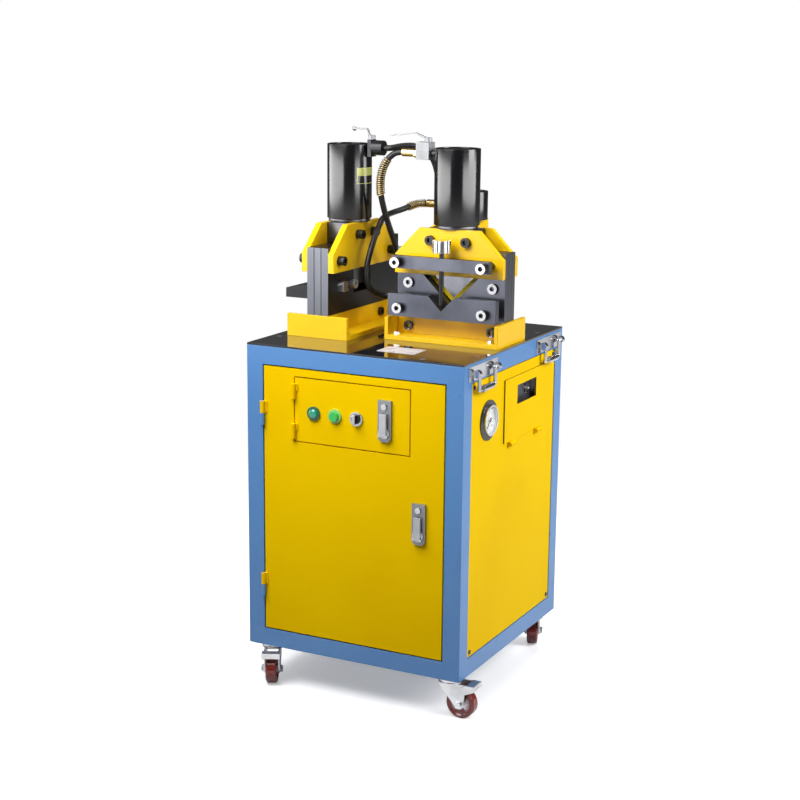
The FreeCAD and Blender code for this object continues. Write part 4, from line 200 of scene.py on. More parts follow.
def metal(name, color, rough, spread=0.08, edge=0.0006, metallic=1.0):
    """Plated or turned metal with small changes of gloss and a few fine scuffs."""
    finish = Finish(name, Metallic=metallic)
    scuffs = finish.noise(scale=90.0, detail=4.0)
    tarnish = finish.noise(scale=18.0, detail=3.0)
    tarnished = tuple(part * 0.72 for part in color)
    finish.feed("Base Color", finish.mix(tarnish.between(0.4, 0.8), color, tarnished))
    finish.feed("Roughness", scuffs.about(rough, spread))
    finish.relief(scuffs, depth=0.00002, edge=edge)
    return finish.material


def moulded(name, color, rough, grain=0.00003, scale=900.0, edge=0.0008, **sockets):
    """Moulded plastic or rubber: a fine skin and slight changes of gloss."""
    finish = Finish(name, **sockets)
    skin = finish.noise(scale)
    wear = finish.noise(scale=30.0, detail=3.0)
    worn = tuple(min(1.0, part * 1.25 + 0.01) for part in color)
    finish.feed("Base Color", finish.mix(wear.between(0.4, 0.8) * 0.5, color, worn))
    finish.feed("Roughness", wear.about(rough, 0.1))
    finish.relief(skin, depth=grain, edge=edge)
    return finish.material


hose_rubber = moulded(
    "hose_rubber", (0.008, 0.008, 0.009), rough=0.38, grain=0.00006, scale=500.0, edge=0.0,
    Specular_IOR_Level=0.35,
)
guard_steel = metal("guard_steel", (0.55, 0.43, 0.22), rough=0.28, spread=0.1, edge=0.0)


def metres(place):
    return tuple(part * MM for part in place)


def tube_along(name, kind, places, radius, facets):
    """A round tube of one curve through places that are given in metres."""
    curve = bpy.data.curves.new(name, "CURVE")
    curve.dimensions = "3D"
    curve.bevel_depth = radius
    curve.bevel_resolution = facets
    spline = curve.splines.new(kind)
    spline.points.add(len(places) - 1)
    for point, place in zip(spline.points, places):
        point.co = (*place, 1)
    piece = bpy.data.objects.new(name, curve)
    bpy.context.scene.collection.objects.link(piece)
    return piece


def hose_curve(name, route, radius):
    """A hose, or its bare line, as one smooth open spline that its route's points draw along."""
    piece = tube_along(name, "NURBS", [metres(place) for place in route], radius, facets=5)
    piece.data.resolution_u = 8
    piece.data.splines[0].order_u = 3
    piece.data.splines[0].use_endpoint_u = True
    return piece


def center_line(name):
    """Points read along a hose's own spline."""
    thread = hose_curve(name + "_line", ROUTES[name], 0.0)
    bpy.context.view_layer.update()
    mesh = bpy.data.meshes.new_from_object(thread)
    line = [vertex.co.copy() for vertex in mesh.vertices]
    bpy.data.objects.remove(thread)
    bpy.data.meshes.remove(mesh)
    return line


def fixed(piece, material):
    """Gives a new piece its finish and fixes it to the machine's standing part."""
    piece.data.materials.clear()
    piece.data.materials.append(material)
    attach(piece, "root")
    return piece


def guard_spring(name, line, start, long):
    """Open spring of round wire that stands on the hose from start over a length."""
    places = []
    travelled = 0.0
    side = Vector((0, 1, 0))
    wound = start * MM
    for first, second in zip(line, line[1:]):
        run = second - first
        ahead = run.normalized()
        while wound <= travelled + run.length and wound <= (start + long) * MM:
            side = (side - ahead * side.dot(ahead)).normalized()
            angle = 2 * math.pi * len(places) / POINTS_PER_TURN
            outwards = side * math.cos(angle) + ahead.cross(side) * math.sin(angle)
            places.append(first + ahead * (wound - travelled) + outwards * GUARD_COIL * MM)
            wound += GUARD_PITCH * MM / POINTS_PER_TURN
        travelled += run.length
    spring = tube_along(name, "POLY", places, GUARD_WIRE * MM, facets=2)
    return fixed(spring, guard_steel)


guards = {
    "hose_right": [guard_spring("guard_right", center_line("hose_right"), start=38, long=82)],
    "hose_left": [],
    "hose_punch": [guard_spring("guard_punch", center_line("hose_punch"), start=4, long=44)],
}
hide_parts("hose_guards")
for label, route in ROUTES.items():
    hose = hose_curve("rubber_" + label, route, HOSE_RADIUS * MM)
    fixed(hose, hose_rubber)
    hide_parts(label)
    metres(route[0])


# Cabinet: square steel tubes welded into a frame and sprayed blue; folded yellow sheets close
# it, screwed on behind the frame's faces. The door's hinges have their fixed halves welded to
# the frame and blue like it. The edge faces of the flap in the right sheet are painted dark
# brown as painted shade, so that its outline reads as a shadowed gap.
FLAP_SHADE_FOOT = 549
MAIN_HINGES_X = -200


def coated(name, color, shade, rough, edge=0.0012, **sockets):
    """Sprayed coat: fine orange peel, faint patches and a dusting that dulls it here and there."""
    finish = Finish(name, **sockets)
    patches = finish.noise(scale=3.0, detail=3.0)
    dust = finish.noise(scale=24.0, detail=4.0)
    orange_peel = finish.noise(scale=420.0)
    finish.feed("Base Color", finish.mix(patches.between(0.35, 0.7), color, shade))
    finish.feed("Roughness", dust.about(rough, 0.12))
    finish.relief(orange_peel, depth=0.00004, edge=edge)
    return finish.material


def dress(node, base, *choices):
    """Gives a CAD node its finishes: each face takes the last choice whose test its middle meets."""
    mesh = NODES[node].data
    mesh.materials.clear()
    for material in (base, *(material for material, _ in choices)):
        mesh.materials.append(material)
    for face in mesh.polygons:
        middle = face.center / MM
        met = [index for index, (_, test) in enumerate(choices, 1) if test(middle, face.normal)]
        face.material_index = met[-1] if met else 0


# The flap's edge faces and its window's edges, which take the dark brown painted shade.
def flap_shaded_rim(at, normal):
    return abs(normal.x) < 0.3 and at.z > FLAP_SHADE_FOOT


blue_coat = coated(
    "blue_coat", (0.08, 0.245, 0.55), (0.06, 0.21, 0.5), rough=0.3, Specular_IOR_Level=0.6
)
yellow_sheet = coated(
    "yellow_sheet", (0.93, 0.60, 0.0), (0.87, 0.54, 0.0), rough=0.36, edge=0.0008,
    Specular_IOR_Level=0.015,
)
# Dark brown painted shade for the flap's edge faces, standing in for the shadow in its gap.
flap_painted_shade = coated("flap_painted_shade", (0.22, 0.12, 0.0), (0.16, 0.09, 0.0), rough=0.6)
dress("frame", blue_coat)
for name in ("cabinet_panels", "main_door", "control_door"):
    dress(name, yellow_sheet)
dress("side_flap", yellow_sheet, (flap_painted_shade, flap_shaded_rim))
dress("hinges", yellow_sheet, (blue_coat, lambda at, normal: at.x < MAIN_HINGES_X))


# Deck: one steel sheet screwed on the frame, lacquered black and polished so that it mirrors
# the heads, with a few smears where hands and oil have dulled it.
deck_lacquer = Finish(
    "deck_lacquer", Base_Color=(0.006, 0.006, 0.008), Coat_Weight=0.6, Coat_Roughness=0.02
)
smears = deck_lacquer.noise(scale=9.0, detail=5.0)
waves = deck_lacquer.noise(scale=5.0)
deck_lacquer.feed("Roughness", 0.04 + smears.between(0.45, 0.8) * 0.1)
deck_lacquer.relief(waves, depth=0.0002, edge=0.0008, strength=0.25)
dress("top_plate", deck_lacquer.material)


# Rating plate: a bare sheet of pale film with rounded corners, stuck on the deck in front of
# the cutter.
DECK_TOP = 747
PLATE_LOW, PLATE_HIGH = (28.5, -208, DECK_TOP), (113.5, -150, DECK_TOP + 0.4)
PLATE_CORNER = 3


def deselected():
    bpy.ops.object.select_all(action="DESELECT")


def picked(piece, kind, test):
    """Opens a piece for shaping with the faces or edges selected that meet a test."""
    deselected()
    piece.select_set(True)
    bpy.context.view_layer.objects.active = piece
    bpy.ops.object.mode_set(mode="EDIT")
    bpy.ops.mesh.select_mode(type=kind)
    bpy.ops.mesh.select_all(action="DESELECT")
    cage = bmesh.from_edit_mesh(piece.data)
    for item in cage.faces if kind == "FACE" else cage.edges:
        if test(item):
            item.select = True
    cage.select_flush_mode()
    bmesh.update_edit_mesh(piece.data)


def squared_bar(name, low, high):
    """A sawn or milled piece's blank: a box between two corners."""
    deselected()
    middle = tuple((first + last) / 2 * MM for first, last in zip(low, high))
    bpy.ops.mesh.primitive_cube_add(size=1, location=middle)
    piece = bpy.context.object
    piece.name = name
    piece.scale = tuple((last - first) * MM for first, last in zip(low, high))
    bpy.ops.object.transform_apply(location=True, rotation=True, scale=True)
    return piece


def smoothed(piece):
    """Shades a piece smooth over all but its real edges."""
    real_edge = math.radians(30)
    deselected()
    piece.select_set(True)
    bpy.context.view_layer.objects.active = piece
    bpy.ops.object.shade_smooth_by_angle(angle=real_edge)
    return piece


def upright(edge):
    return abs(edge.verts[0].co.z - edge.verts[1].co.z) > 0.1 * MM


FILM = {"grain": 0.00001, "scale": 200.0, "edge": 0.0}
plate_film = moulded("plate_film", (0.46, 0.435, 0.45), rough=0.28, **FILM)
plate = squared_bar("deck_label", PLATE_LOW, PLATE_HIGH)
picked(plate, "EDGE", upright)
bpy.ops.mesh.bevel(offset=PLATE_CORNER * MM, segments=5)
bpy.ops.object.mode_set(mode="OBJECT")
fixed(smoothed(plate), plate_film)


# Locks of the doors: a die-cast body on the door's face holds a push button and a folding
# lever, which turns a steel rotor behind the door.
lock_cast = metal("lock_cast", (0.26, 0.27, 0.29), rough=0.34, spread=0.1, edge=0.0008, metallic=0.6)
lever_cast = metal("lever_cast", (0.50, 0.51, 0.54), rough=0.34, spread=0.1, edge=0.0002, metallic=0.4)
zinc_plate = metal("zinc_plate", (0.62, 0.63, 0.66), rough=0.3)
for lock in ("door_lock", "control_lock"):
    dress(lock + "_base", lock_cast)
    dress(lock + "_lever", lever_cast)
    dress(lock + "_button", zinc_plate)
    dress(lock + "_rotor", zinc_plate)


# Switches, screwed through the control door: a green lamp in a dark green collar, a green push
# button in a pale collar and a black selector with a bright mark in a chromed one.
COLLAR_BACK, KNOB_FACE = -258, -270.4
LAMP_SIDE, SELECTOR_SIDE = -64, -14
black_bezel = moulded("black_bezel", (0.014, 0.014, 0.016), rough=0.3)
lamp_collar = moulded("lamp_collar", (0.004, 0.10, 0.045), rough=0.25, Coat_Weight=0.5)
start_collar = moulded("start_collar", (0.25, 0.62, 0.16), rough=0.3, Coat_Weight=0.5)
lamp_lens = moulded("lamp_lens", (0.0, 0.33, 0.20), rough=0.14, Coat_Weight=0.8)
start_cap = moulded("start_cap", (0.02, 0.52, 0.07), rough=0.2, Coat_Weight=0.6)
polished = metal("polished", (0.62, 0.63, 0.66), rough=0.16)
dress(
    "switch_bodies",
    black_bezel,
    (lamp_collar, lambda at, normal: at.y < COLLAR_BACK and at.x < LAMP_SIDE),
    (start_collar, lambda at, normal: at.y < COLLAR_BACK and LAMP_SIDE < at.x < SELECTOR_SIDE),
    (polished, lambda at, normal: at.y < COLLAR_BACK and at.x > SELECTOR_SIDE),
)
dress("pilot_lamp", lamp_lens)
dress("start_button", start_cap)
knob_mark = (polished, lambda at, normal: at.y < KNOB_FACE and abs(normal.y) > 0.9)
dress("selector_knob", black_bezel, knob_mark)


# Pressure gauge in the side panel: a black flange, a chromed bezel and a white dial with a
# black scale and its numbers, under a pane of glass.
GAUGE_Y, GAUGE_Z = -135, 613
BEZEL_BACK, DIAL_DEEP, DIAL_RADIUS = 251.4, 7, 28.5
PANE_BACK, PANE_FRONT, PANE_RADIUS = 2.4, 1.2, 27.8
MARK_RADIUS, NUMBER_RADIUS, NUMBER_TALL = 26, 17, 6.5
LONG_MARK, SHORT_MARK, INK_THICK = (5.0, 0.9), (2.6, 0.45), 0.15
SCALE_START, MARK_STEP, MARKS_PER_NUMBER, NUMBERS = 225, 9, 5, 7
gauge_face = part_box("gauge_case")[1].x / MM
dial_x = gauge_face - DIAL_DEEP


def eased(piece, width, segments=3, angle=40):
    """Rounds a piece's sharp edges with an applied bevel."""
    bpy.context.view_layer.objects.active = piece
    bevel = piece.modifiers.new("edges", "BEVEL")
    bevel.width = width * MM
    bevel.segments = segments
    bevel.limit_method = "ANGLE"
    bevel.angle_limit = math.radians(angle)
    bpy.ops.object.modifier_apply(modifier=bevel.name)
    return piece


def round_bar(name, radius, low, high, spot, sides, axis="z"):
    """A turned piece's blank: a cylinder along z or x, between two places on an axis at a spot."""
    deselected()
    middle = (low + high) / 2
    bpy.ops.mesh.primitive_cylinder_add(
        vertices=sides,
        radius=radius * MM,
        depth=(high - low) * MM,
        location=metres((middle, *spot) if axis == "x" else (*spot, middle)),
        rotation=(0, math.pi / 2 if axis == "x" else 0, 0),
    )
    piece = bpy.context.object
    piece.name = name
    bpy.ops.object.transform_apply(location=True, rotation=True, scale=True)
    return piece


def on_dial(at, normal):
    return abs(at.x - dial_x) < 0.5 and math.hypot(at.y - GAUGE_Y, at.z - GAUGE_Z) < DIAL_RADIUS


FINE_SKIN = {"grain": 0.00001, "scale": 300.0, "edge": 0.0}
dial_white = moulded("dial_white", (0.62, 0.64, 0.63), rough=0.35, **FINE_SKIN)
scale_black = moulded("scale_black", (0.015, 0.015, 0.015), rough=0.5, **FINE_SKIN)
needle_black = moulded("needle_black", (0.02, 0.02, 0.02), rough=0.4, **FINE_SKIN)
bezel = (polished, lambda at, normal: at.x > BEZEL_BACK)
dress("gauge_case", black_bezel, bezel, (dial_white, on_dial))
dress("gauge_needle", needle_black)
marks = []
dial_middle = Matrix.Translation(metres((0, GAUGE_Y, GAUGE_Z)))
for index in range(MARKS_PER_NUMBER * (NUMBERS - 1) + 1):
    long, wide = LONG_MARK if index % MARKS_PER_NUMBER == 0 else SHORT_MARK
    mark = squared_bar(
        "mark",
        (dial_x, GAUGE_Y - wide / 2, GAUGE_Z + MARK_RADIUS - long),
        (dial_x + INK_THICK, GAUGE_Y + wide / 2, GAUGE_Z + MARK_RADIUS),
    )
    turn = Matrix.Rotation(math.radians(SCALE_START - MARK_STEP * index - 90), 4, "X")
    mark.data.transform(dial_middle @ turn @ dial_middle.inverted())
    marks.append(mark)
for index in range(NUMBERS):
    angle = math.radians(SCALE_START - MARK_STEP * MARKS_PER_NUMBER * index)
    spot = (
        dial_x + 0.1,
        GAUGE_Y + NUMBER_RADIUS * math.cos(angle),
        GAUGE_Z + NUMBER_RADIUS * math.sin(angle),
    )
    deselected()
    bpy.ops.object.text_add(location=metres(spot), rotation=(math.pi / 2, 0, math.pi / 2))
    digits = bpy.context.object
    digits.data.body = str(10 * index)
    digits.data.size = NUMBER_TALL * MM
    digits.data.align_x = "CENTER"
    digits.data.align_y = "CENTER"
    digits.data.extrude = 0.05 * MM
    digits.data.resolution_u = 3
    bpy.ops.object.convert(target="MESH")
    bpy.ops.object.transform_apply(location=True, rotation=True, scale=True)
    marks.append(bpy.context.object)
deselected()
for mark in marks:
    mark.select_set(True)
bpy.context.view_layer.objects.active = marks[0]
bpy.ops.object.join()
marks[0].name = "gauge_scale"
fixed(marks[0], scale_black)
clear = Finish(
    "gauge_glass", Base_Color=(1, 1, 1), Roughness=0.02, Transmission_Weight=1.0, IOR=1.1, Alpha=0.25
)
pane = round_bar(
    "gauge_window",
    PANE_RADIUS,
    gauge_face - PANE_BACK,
    gauge_face - PANE_FRONT,
    (GAUGE_Y, GAUGE_Z),
    sides=64,
    axis="x",
)
fixed(smoothed(eased(pane, width=0.4)), clear.material)


# Main breaker behind the flap's window: a dark moulded body with a pale toggle, and with a
# bright rim and screws that hold it in the side panel's cut-out.
BREAKER_FACE = 237.2
breaker_body = moulded("breaker_body", (0.035, 0.033, 0.045), rough=0.35)
toggle_white = moulded("toggle_white", (0.80, 0.80, 0.78), rough=0.3)
dress("breaker", breaker_body, (polished, lambda at, normal: at.x > BREAKER_FACE))
dress("breaker_toggle", toggle_white)


# Folding handles: four bails of chromed wire, each hung in the two eyes of a chromed plate
# that is screwed on the cabinet's side.
for side in ("right", "left"):
    for end in ("front", "rear"):
        dress("handle_%s_%s" % (side, end), polished)
dress("handle_plates", polished)


# Casters: zinc-plated pressed forks that swivel under plates on the frame, with dark red
# polyurethane wheels on steel hubs, and a brake pedal on each of the two in front.
HUB_REACH, HUB_RISE = 18, 11
red_tread = moulded("red_tread", (0.20, 0.012, 0.008), rough=0.25, Coat_Weight=0.3)


def on_hub(at, middle):
    return (at - middle).length < HUB_REACH and abs(at.z - middle.z) < HUB_RISE


for corner in ("front_left", "front_right", "rear_left", "rear_right"):
    dress("caster_fork_" + corner, zinc_plate)
    low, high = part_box("caster_wheel_" + corner)
    middle = (low + high) / 2 / MM
    dress("caster_wheel_" + corner, red_tread, (zinc_plate, lambda at, normal: on_hub(at, middle)))
for corner in ("front_left", "front_right"):
    dress("brake_pedal_" + corner, zinc_plate)
dress("caster_plates", zinc_plate)


# Power pack: an oil tank and its motor in plain grey enamel, inside the cabinet, where only an
# open door shows them.
enamel = coated("enamel", (0.20, 0.22, 0.25), (0.17, 0.19, 0.22), rough=0.4)
dress("oil_tank", enamel)
dress("motor", enamel)


# Heads: yellow welded bases and sawn yellow yokes, with stacks of machined steel plates bolted
# between them. The right one cuts, the left one notches and stands turned a quarter, and the
# punch behind has a yellow frame with a steel die. The left head's plates and rests are the
# same machined steel as the right's, given a near-black colour as painted shade.
RIGHT_SPOT, LEFT_SPOT, PUNCH_SPOT = (110, -5.8), (-149, 1), (54, 172)
BETWEEN_HEADS = -60
LEFT_END_Y, RIGHT_END_X = 130, 120
JOINT_AWAY = 8.4
STOP_SIDE, STOP_REAR = -124.5, -70
BLADE_TOP = 950
DIE_FOOT, DIE_TOP, DIE_REACH = 817.2, 826, 23
THREAD_TOP = DECK_TOP + 191.5


def grinding(finish, lines):
    """Fine lines of a grinding wheel, drawn out along the axis that has the small scale."""
    where = finish.add("ShaderNodeMapping", {}, {"Vector": finish.place(), "Scale": lines})
    return finish.noise(scale=60.0, detail=5.0, roughness=0.65, where=where)


def ground(name, color, shade, rough, lines):
    """Machined steel: fine lines one way, with oily darker patches."""
    finish = Finish(name, Metallic=1.0)
    marks = grinding(finish, lines)
    oil = finish.noise(scale=14.0, detail=5.0)
    finish.feed("Base Color", finish.mix(oil.between(0.3, 0.75) * 0.7 + marks * 0.3, color, shade))
    finish.feed("Roughness", oil.about(marks.about(rough, 0.2), 0.15))
    finish.relief(marks, depth=0.00003, edge=0.0006)
    return finish.material


def layered(name, axis, middle, color, shade):
    """Sawn ends of three stacked plates: ground lines, and a dark joint beside the middle one."""
    finish = Finish(name, Metallic=0.9)
    marks = grinding(finish, (1.0, 1.0, 0.1))
    along = finish.add("ShaderNodeSeparateXYZ", {}, (finish.place(),), axis)
    steel = abs(abs(along - middle * MM) - JOINT_AWAY * MM).between(0.4 * MM, 1.1 * MM)
    finish.feed("Base Color", finish.mix(steel, (0.01, 0.01, 0.012), finish.mix(marks, color, shade)))
    finish.feed("Roughness", marks.about(0.34, 0.2))
    finish.relief(marks * 0.2 + steel, depth=0.0003, edge=0.0008)
    return finish.material


def on_die(at, normal):
    away = math.hypot(at.x - PUNCH_SPOT[0], at.y - PUNCH_SPOT[1])
    return DIE_FOOT < at.z < DIE_TOP and away < DIE_REACH


yellow_coat = coated(
    "yellow_coat", (0.95, 0.61, 0.002), (0.88, 0.52, 0.002), rough=0.3, edge=0.0018,
    Specular_IOR_Level=0.3,
)
edge_yellow = coated("edge_yellow", (1.0, 0.76, 0.03), (0.9, 0.66, 0.02), rough=0.35, edge=0.0)
plate_steel = ground("plate_steel", (0.115, 0.12, 0.145), (0.06, 0.063, 0.08), 0.36, (1.0, 1.0, 0.12))
blade_steel = ground("blade_steel", (0.26, 0.27, 0.30), (0.14, 0.14, 0.16), 0.3, (0.12, 1.0, 1.0))
# Near-black steel: painted shade on the left head's plates and rests, which are the same machined
# steel as the right head's.
left_steel_shade = metal(
    "left_steel_shade", (0.02, 0.02, 0.023), rough=0.3, spread=0.1, edge=0.0008, metallic=0.6
)
black_oxide = metal("black_oxide", (0.03, 0.03, 0.032), rough=0.3, metallic=0.7)
left_ends = layered("left_ends", 0, LEFT_SPOT[0], (0.16, 0.165, 0.185), (0.09, 0.095, 0.11))
right_ends = layered("right_ends", 1, RIGHT_SPOT[1], (0.15, 0.155, 0.18), (0.08, 0.085, 0.10))


def left_end(at, normal):
    return at.x < BETWEEN_HEADS and abs(normal.y) > 0.9 and abs(at.y) > LEFT_END_Y


def right_end(at, normal):
    return at.x > BETWEEN_HEADS and abs(normal.x) > 0.9 and abs(at.x - RIGHT_SPOT[0]) > RIGHT_END_X


def blade_bevel(at, normal):
    return at.z < BLADE_TOP and 0.15 < abs(normal.x) < 0.6 and abs(normal.y) > 0.5


# The left head's steel faces take the near-black painted shade.
left_shaded_steel = (left_steel_shade, lambda at, normal: at.x < BETWEEN_HEADS)
stop_zinc = (zinc_plate, lambda at, normal: STOP_SIDE < at.x < BETWEEN_HEADS and at.y < STOP_REAR)
dress("head_bases", yellow_coat)
dress("yoke_slabs", yellow_coat)
dress("stack_plates", plate_steel, left_shaded_steel, (left_ends, left_end), (right_ends, right_end))
dress("work_rests", plate_steel, left_shaded_steel, stop_zinc)
dress("hold_down_bar", plate_steel)
dress("cutter_ram", blade_steel, (edge_yellow, blade_bevel))
dress("notcher_ram", blade_steel)
dress("punch_ram", blade_steel)
dress("punch_frame", yellow_coat, (plate_steel, on_die))
dress("clamp_screw", polished, (black_oxide, lambda at, normal: at.z < THREAD_TOP))


# Cylinders: honed tubes with screwed caps, sprayed gloss black, each fed through a short
# nipple in its side; the two heads' ones stand on turned steel necks.
NECK_FOOT, FLANGE_FOOT, NECK_TOP = DECK_TOP + 191, DECK_TOP + 236, DECK_TOP + 243
BARREL_RADIUS, BARREL_TALL, PUNCH_RADIUS, FLANGE_RADIUS, NIPPLE_RADIUS = 48, 158, 43, 45, 8
NECK_LONG, NECK_SHORT = 54, 25.2
CAP_RIM, CAP_SUNK, CAP_GROOVE = 7, 2, 0.8
cylinder_black = Finish("cylinder_black", Base_Color=(0.003, 0.003, 0.004), IOR=1.6)
haze = cylinder_black.noise(scale=6.0, detail=3.0)
cylinder_black.feed("Roughness", 0.17 + haze.between(0.4, 0.8) * 0.05)
cylinder_black.relief(cylinder_black.noise(scale=300.0), depth=0.00001)
neck_steel = metal("neck_steel", (0.11, 0.11, 0.12), rough=0.35)
cap_black = moulded(
    "cap_black", (0.006, 0.006, 0.007), rough=0.55, scale=300.0, edge=0.0, Specular_IOR_Level=0.1
)
for label, spot, radius, low, high in (
    ("right", RIGHT_SPOT, BARREL_RADIUS, NECK_TOP, NECK_TOP + BARREL_TALL),
    ("left", LEFT_SPOT, BARREL_RADIUS, NECK_TOP, NECK_TOP + BARREL_TALL),
    ("punch", PUNCH_SPOT, PUNCH_RADIUS, DECK_TOP + 235, DECK_TOP + 297),
):
    barrel = round_bar("barrel_" + label, radius, low, high, spot, sides=160)
    picked(barrel, "FACE", lambda face: face.normal.z > 0.9)
    bpy.ops.mesh.inset(thickness=CAP_RIM * MM)
    bpy.ops.mesh.extrude_region_move(TRANSFORM_OT_translate={"value": (0, 0, -CAP_SUNK * MM)})
    bpy.ops.mesh.inset(thickness=CAP_GROOVE * MM)
    bpy.ops.object.mode_set(mode="OBJECT")
    eased(barrel, width=1.6, segments=4, angle=50)
    fixed(smoothed(barrel), cylinder_black.material)
    barrel.data.materials.append(cap_black)
    for face in barrel.data.polygons:
        if face.normal.z > 0.5:
            face.material_index = 1
    if label == "right":
        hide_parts("cylinders")
for label, (x, y), half_x, half_y in (
    ("right", RIGHT_SPOT, NECK_LONG, NECK_SHORT),
    ("left", LEFT_SPOT, NECK_SHORT, NECK_LONG),
):
    block = squared_bar(
        "neck_block_" + label,
        (x - half_x, y - half_y, NECK_FOOT),
        (x + half_x, y + half_y, FLANGE_FOOT),
    )
    fixed(smoothed(eased(block, width=1.0)), neck_steel)
    flange = round_bar("neck_flange_" + label, FLANGE_RADIUS, FLANGE_FOOT, NECK_TOP, (x, y), sides=128)
    fixed(smoothed(eased(flange, width=1.2)), neck_steel)
for label, low, high, spot in (
    ("right", 46, 66, (RIGHT_SPOT[1], DECK_TOP + 388)),
    ("left", -105, -99.5, (LEFT_SPOT[1], DECK_TOP + 394)),
    ("punch", 1.5, 20, (PUNCH_SPOT[1], DECK_TOP + 264)),
):
    nipple = round_bar("nipple_" + label, NIPPLE_RADIUS, low, high, spot, sides=48, axis="x")
    fixed(smoothed(eased(nipple, width=0.8)), black_oxide)


# Band round part of the left cylinder: bare yellow-green film stuck on the tube, a broad strip
# above and a thin line beside and below it.
FILM_OVER, FILM_THICK = 0.25, 0.2
band_film = moulded("band_film", (0.55, 0.58, 0.16), rough=0.25, **FILM)
for label, low, high, bearing, half_angle in (
    ("band", 1082, 1099, -8, 35),
    ("rim_below", 1065, 1066.5, -8, 35),
    ("rim_beside", 1066.5, 1082, -42, 1.2),
):
    film = round_bar("cylinder_" + label, BARREL_RADIUS + FILM_OVER, low, high, LEFT_SPOT, sides=320)
    toward = Vector((math.cos(math.radians(bearing)), math.sin(math.radians(bearing)), 0))
    picked(film, "FACE", lambda face: face.normal.dot(toward) < math.cos(math.radians(half_angle)))
    bpy.ops.mesh.delete(type="FACE")
    bpy.ops.object.mode_set(mode="OBJECT")
    wall = film.modifiers.new("film", "SOLIDIFY")
    wall.thickness = FILM_THICK * MM
    wall.offset = -1
    bpy.ops.object.modifier_apply(modifier=wall.name)
    fixed(smoothed(film), band_film)


# Fasteners: black socket screws in the yokes, webs and panels, long bolts with ground ends in
# the rests, a plated bolt in the notcher's stop, and plated screws in the deck.
DECK_SCREW_FOOT, DECK_SCREW_TOP = DECK_TOP - 5, DECK_TOP + 18
RING_INNER, RING_OUTER, RING_FRONT = 5.0, 11.2, -25
LONG_BOLTS = ((97, 70), (97, 118), (98, 167))
RINGS = [(RIGHT_SPOT[0] + sign * out, DECK_TOP + up) for sign in (-1, 1) for out, up in LONG_BOLTS]
STOP_BOLT_X, STOP_BOLT_Y, YOKE_FOOT = (-130, -105), (-50.5, -26.5), 880
bright_zinc = metal("bright_zinc", (0.62, 0.62, 0.65), rough=0.28, metallic=0.6)


def ring_face(at, normal):
    """The ground ends of the long bolts, which face the front on the right head."""
    if normal.y > -0.9 or at.y > RING_FRONT:
        return False
    return any(RING_INNER < math.hypot(at.x - x, at.z - z) < RING_OUTER for x, z in RINGS)


def stop_bolt(at, normal):
    beside_stop = STOP_BOLT_X[0] < at.x < STOP_BOLT_X[1] and STOP_BOLT_Y[0] < at.y < STOP_BOLT_Y[1]
    return beside_stop and at.z < YOKE_FOOT


dress(
    "fasteners",
    black_oxide,
    (zinc_plate, lambda at, normal: DECK_SCREW_FOOT <= at.z < DECK_SCREW_TOP),
    (bright_zinc, ring_face),
    (bright_zinc, stop_bolt),
)


# Valves and fittings: a plated and a black valve with plated levers, brass hose ends, plated
# bulkheads in the deck and a black gland for the cable at the back.
BULKHEAD_TOP, VALVE_FOOT, STEM_FOOT = 785, 1110, 1158.2
RIGHT_VALVE_X, LEFT_VALVE_X, GLAND_Y = (19, 51), -65, 240
brass = metal("brass", (0.62, 0.47, 0.22), rough=0.22)
valve_zinc = metal("valve_zinc", (0.33, 0.335, 0.35), rough=0.4, spread=0.1, edge=0.0008, metallic=0.2)
dress(
    "fittings",
    brass,
    (zinc_plate, lambda at, normal: at.z < BULKHEAD_TOP),
    (black_bezel, lambda at, normal: at.y > GLAND_Y),
    (valve_zinc, lambda at, normal: at.z > VALVE_FOOT and RIGHT_VALVE_X[0] < at.x < RIGHT_VALVE_X[1]),
    (black_oxide, lambda at, normal: at.z > VALVE_FOOT and at.x < LEFT_VALVE_X),
    (black_oxide, lambda at, normal: at.z > STEM_FOOT),
)
for side in ("right", "left"):
    dress("valve_lever_" + side, valve_zinc)


# Studio: a pale paper floor that fades into white all round, four soft lamps, and two upright
# cards that show only in gloss and draw the pale bands down the cylinders. In gloss the paper
# also shows a pale ring, which the blue rails mirror.
FLOOR_REACH = 14
DIFFUSE_SKY, GLOSSY_SKY = 0.14, 0.10
deselected()
bpy.ops.mesh.primitive_circle_add(
    vertices=64, radius=FLOOR_REACH, fill_type="NGON", location=(0, 0, 0)
)
floor = bpy.context.object
floor.name = "floor"
paper = Finish("paper", Roughness=0.9, Specular_IOR_Level=0.0, Emission_Strength=0.35)
seen, bounced, mirrored = (paper.ray("Is %s Ray" % kind) for kind in ("Camera", "Diffuse", "Glossy"))
paper.feed("Base Color", paper.mix(bounced, (0.9, 0.9, 0.91), (0.25, 0.25, 0.27)))
paper.feed("Emission Color", paper.mix(seen, (0, 0, 0), (1, 1, 1)))
far = paper.add("ShaderNodeVectorMath", {"operation": "LENGTH"}, (paper.place(),), "Value")
white_out = far.between(0.75, 1.9) * seen
pale_ring = far.between(0.9, 2.6) * (1 - far.between(4.0, 5.5)) * mirrored
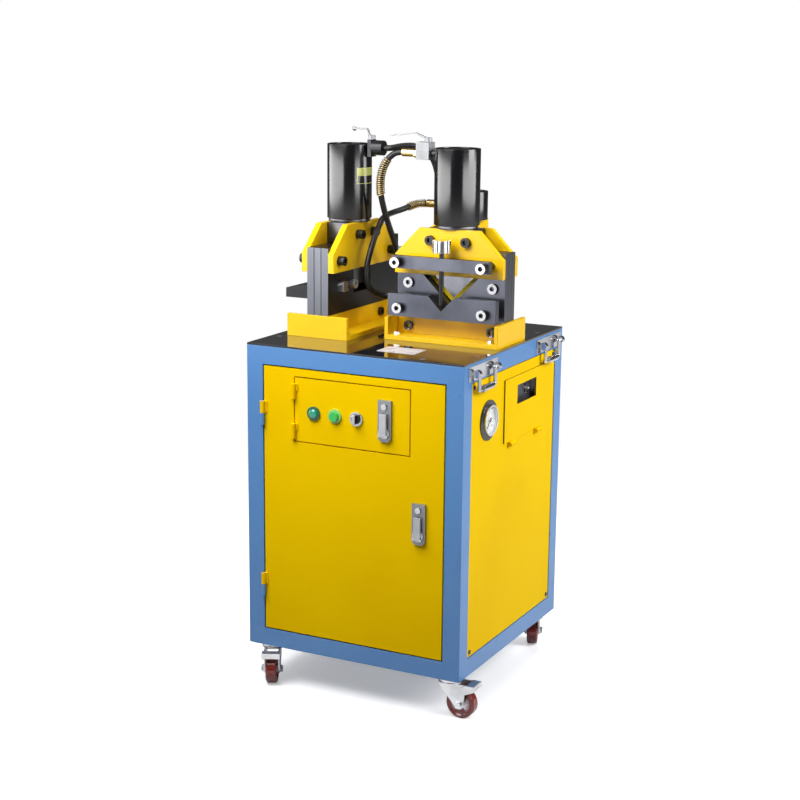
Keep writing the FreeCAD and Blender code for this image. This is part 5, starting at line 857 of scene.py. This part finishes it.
lit_paper = Value(paper, paper.surface.outputs[0])
glow = paper.add("ShaderNodeEmission", {}, ())
sheet = paper.add("ShaderNodeMixShader", {}, (white_out + pale_ring, lit_paper, glow))
paper.link(sheet, paper.tree.nodes["Material Output"].inputs["Surface"])
floor.data.materials.append(paper.material)

world = bpy.data.worlds.new("studio")
bpy.context.scene.world = world
air = Nodes(world)
seen, passed, mirrored = (air.ray("Is %s Ray" % kind) for kind in ("Camera", "Transmission", "Glossy"))
strength = (seen + passed) * (1 - DIFFUSE_SKY) + mirrored * (GLOSSY_SKY - DIFFUSE_SKY) + DIFFUSE_SKY
sky = air.tree.nodes["Background"]
sky.inputs["Color"].default_value = (1, 1, 1, 1)
air.link(strength, sky.inputs["Strength"])


def soft_box(name, place, aim, wide, tall, radiance, lights=True, shines=True):
    """Lamp that faces a point; it may be kept from lighting, or from shining back in gloss."""
    lamp = bpy.data.lights.new(name, "AREA")
    lamp.shape = "RECTANGLE"
    lamp.size = wide
    lamp.size_y = tall
    lamp.energy = radiance * math.pi * wide * tall
    box = bpy.data.objects.new(name, lamp)
    bpy.context.scene.collection.objects.link(box)
    box.location = place
    box.rotation_euler = (Vector(aim) - Vector(place)).to_track_quat("-Z", "Y").to_euler()
    box.visible_camera = False
    box.visible_diffuse = lights
    box.visible_glossy = shines


soft_box("key", (2.3, 0.35, 1.9), (0, 0, 0.8), 1.5, 1.5, 9.8)
soft_box("front", (-0.3, -0.95, 1.7), (0, -0.25, 0.85), 1.1, 0.9, 9.5)
soft_box("top", (0.2, 0.5, 3.4), (0, 0, 0.8), 2.2, 2.2, 1.8)
soft_box("rear", (-1.1, 2.4, 1.7), (0, 0, 0.6), 1.6, 1.6, 4.0, shines=False)
soft_box("left_card", (-1.25, -1.0, 0.96), (0, 0, 0.96), 3.2, 0.46, 7.5, lights=False)
soft_box("right_card", (1.8, 0.0, 0.96), (0, 0, 0.96), 2.6, 0.46, 7.0, lights=False)

bpy.context.scene.view_settings.view_transform = "Standard"
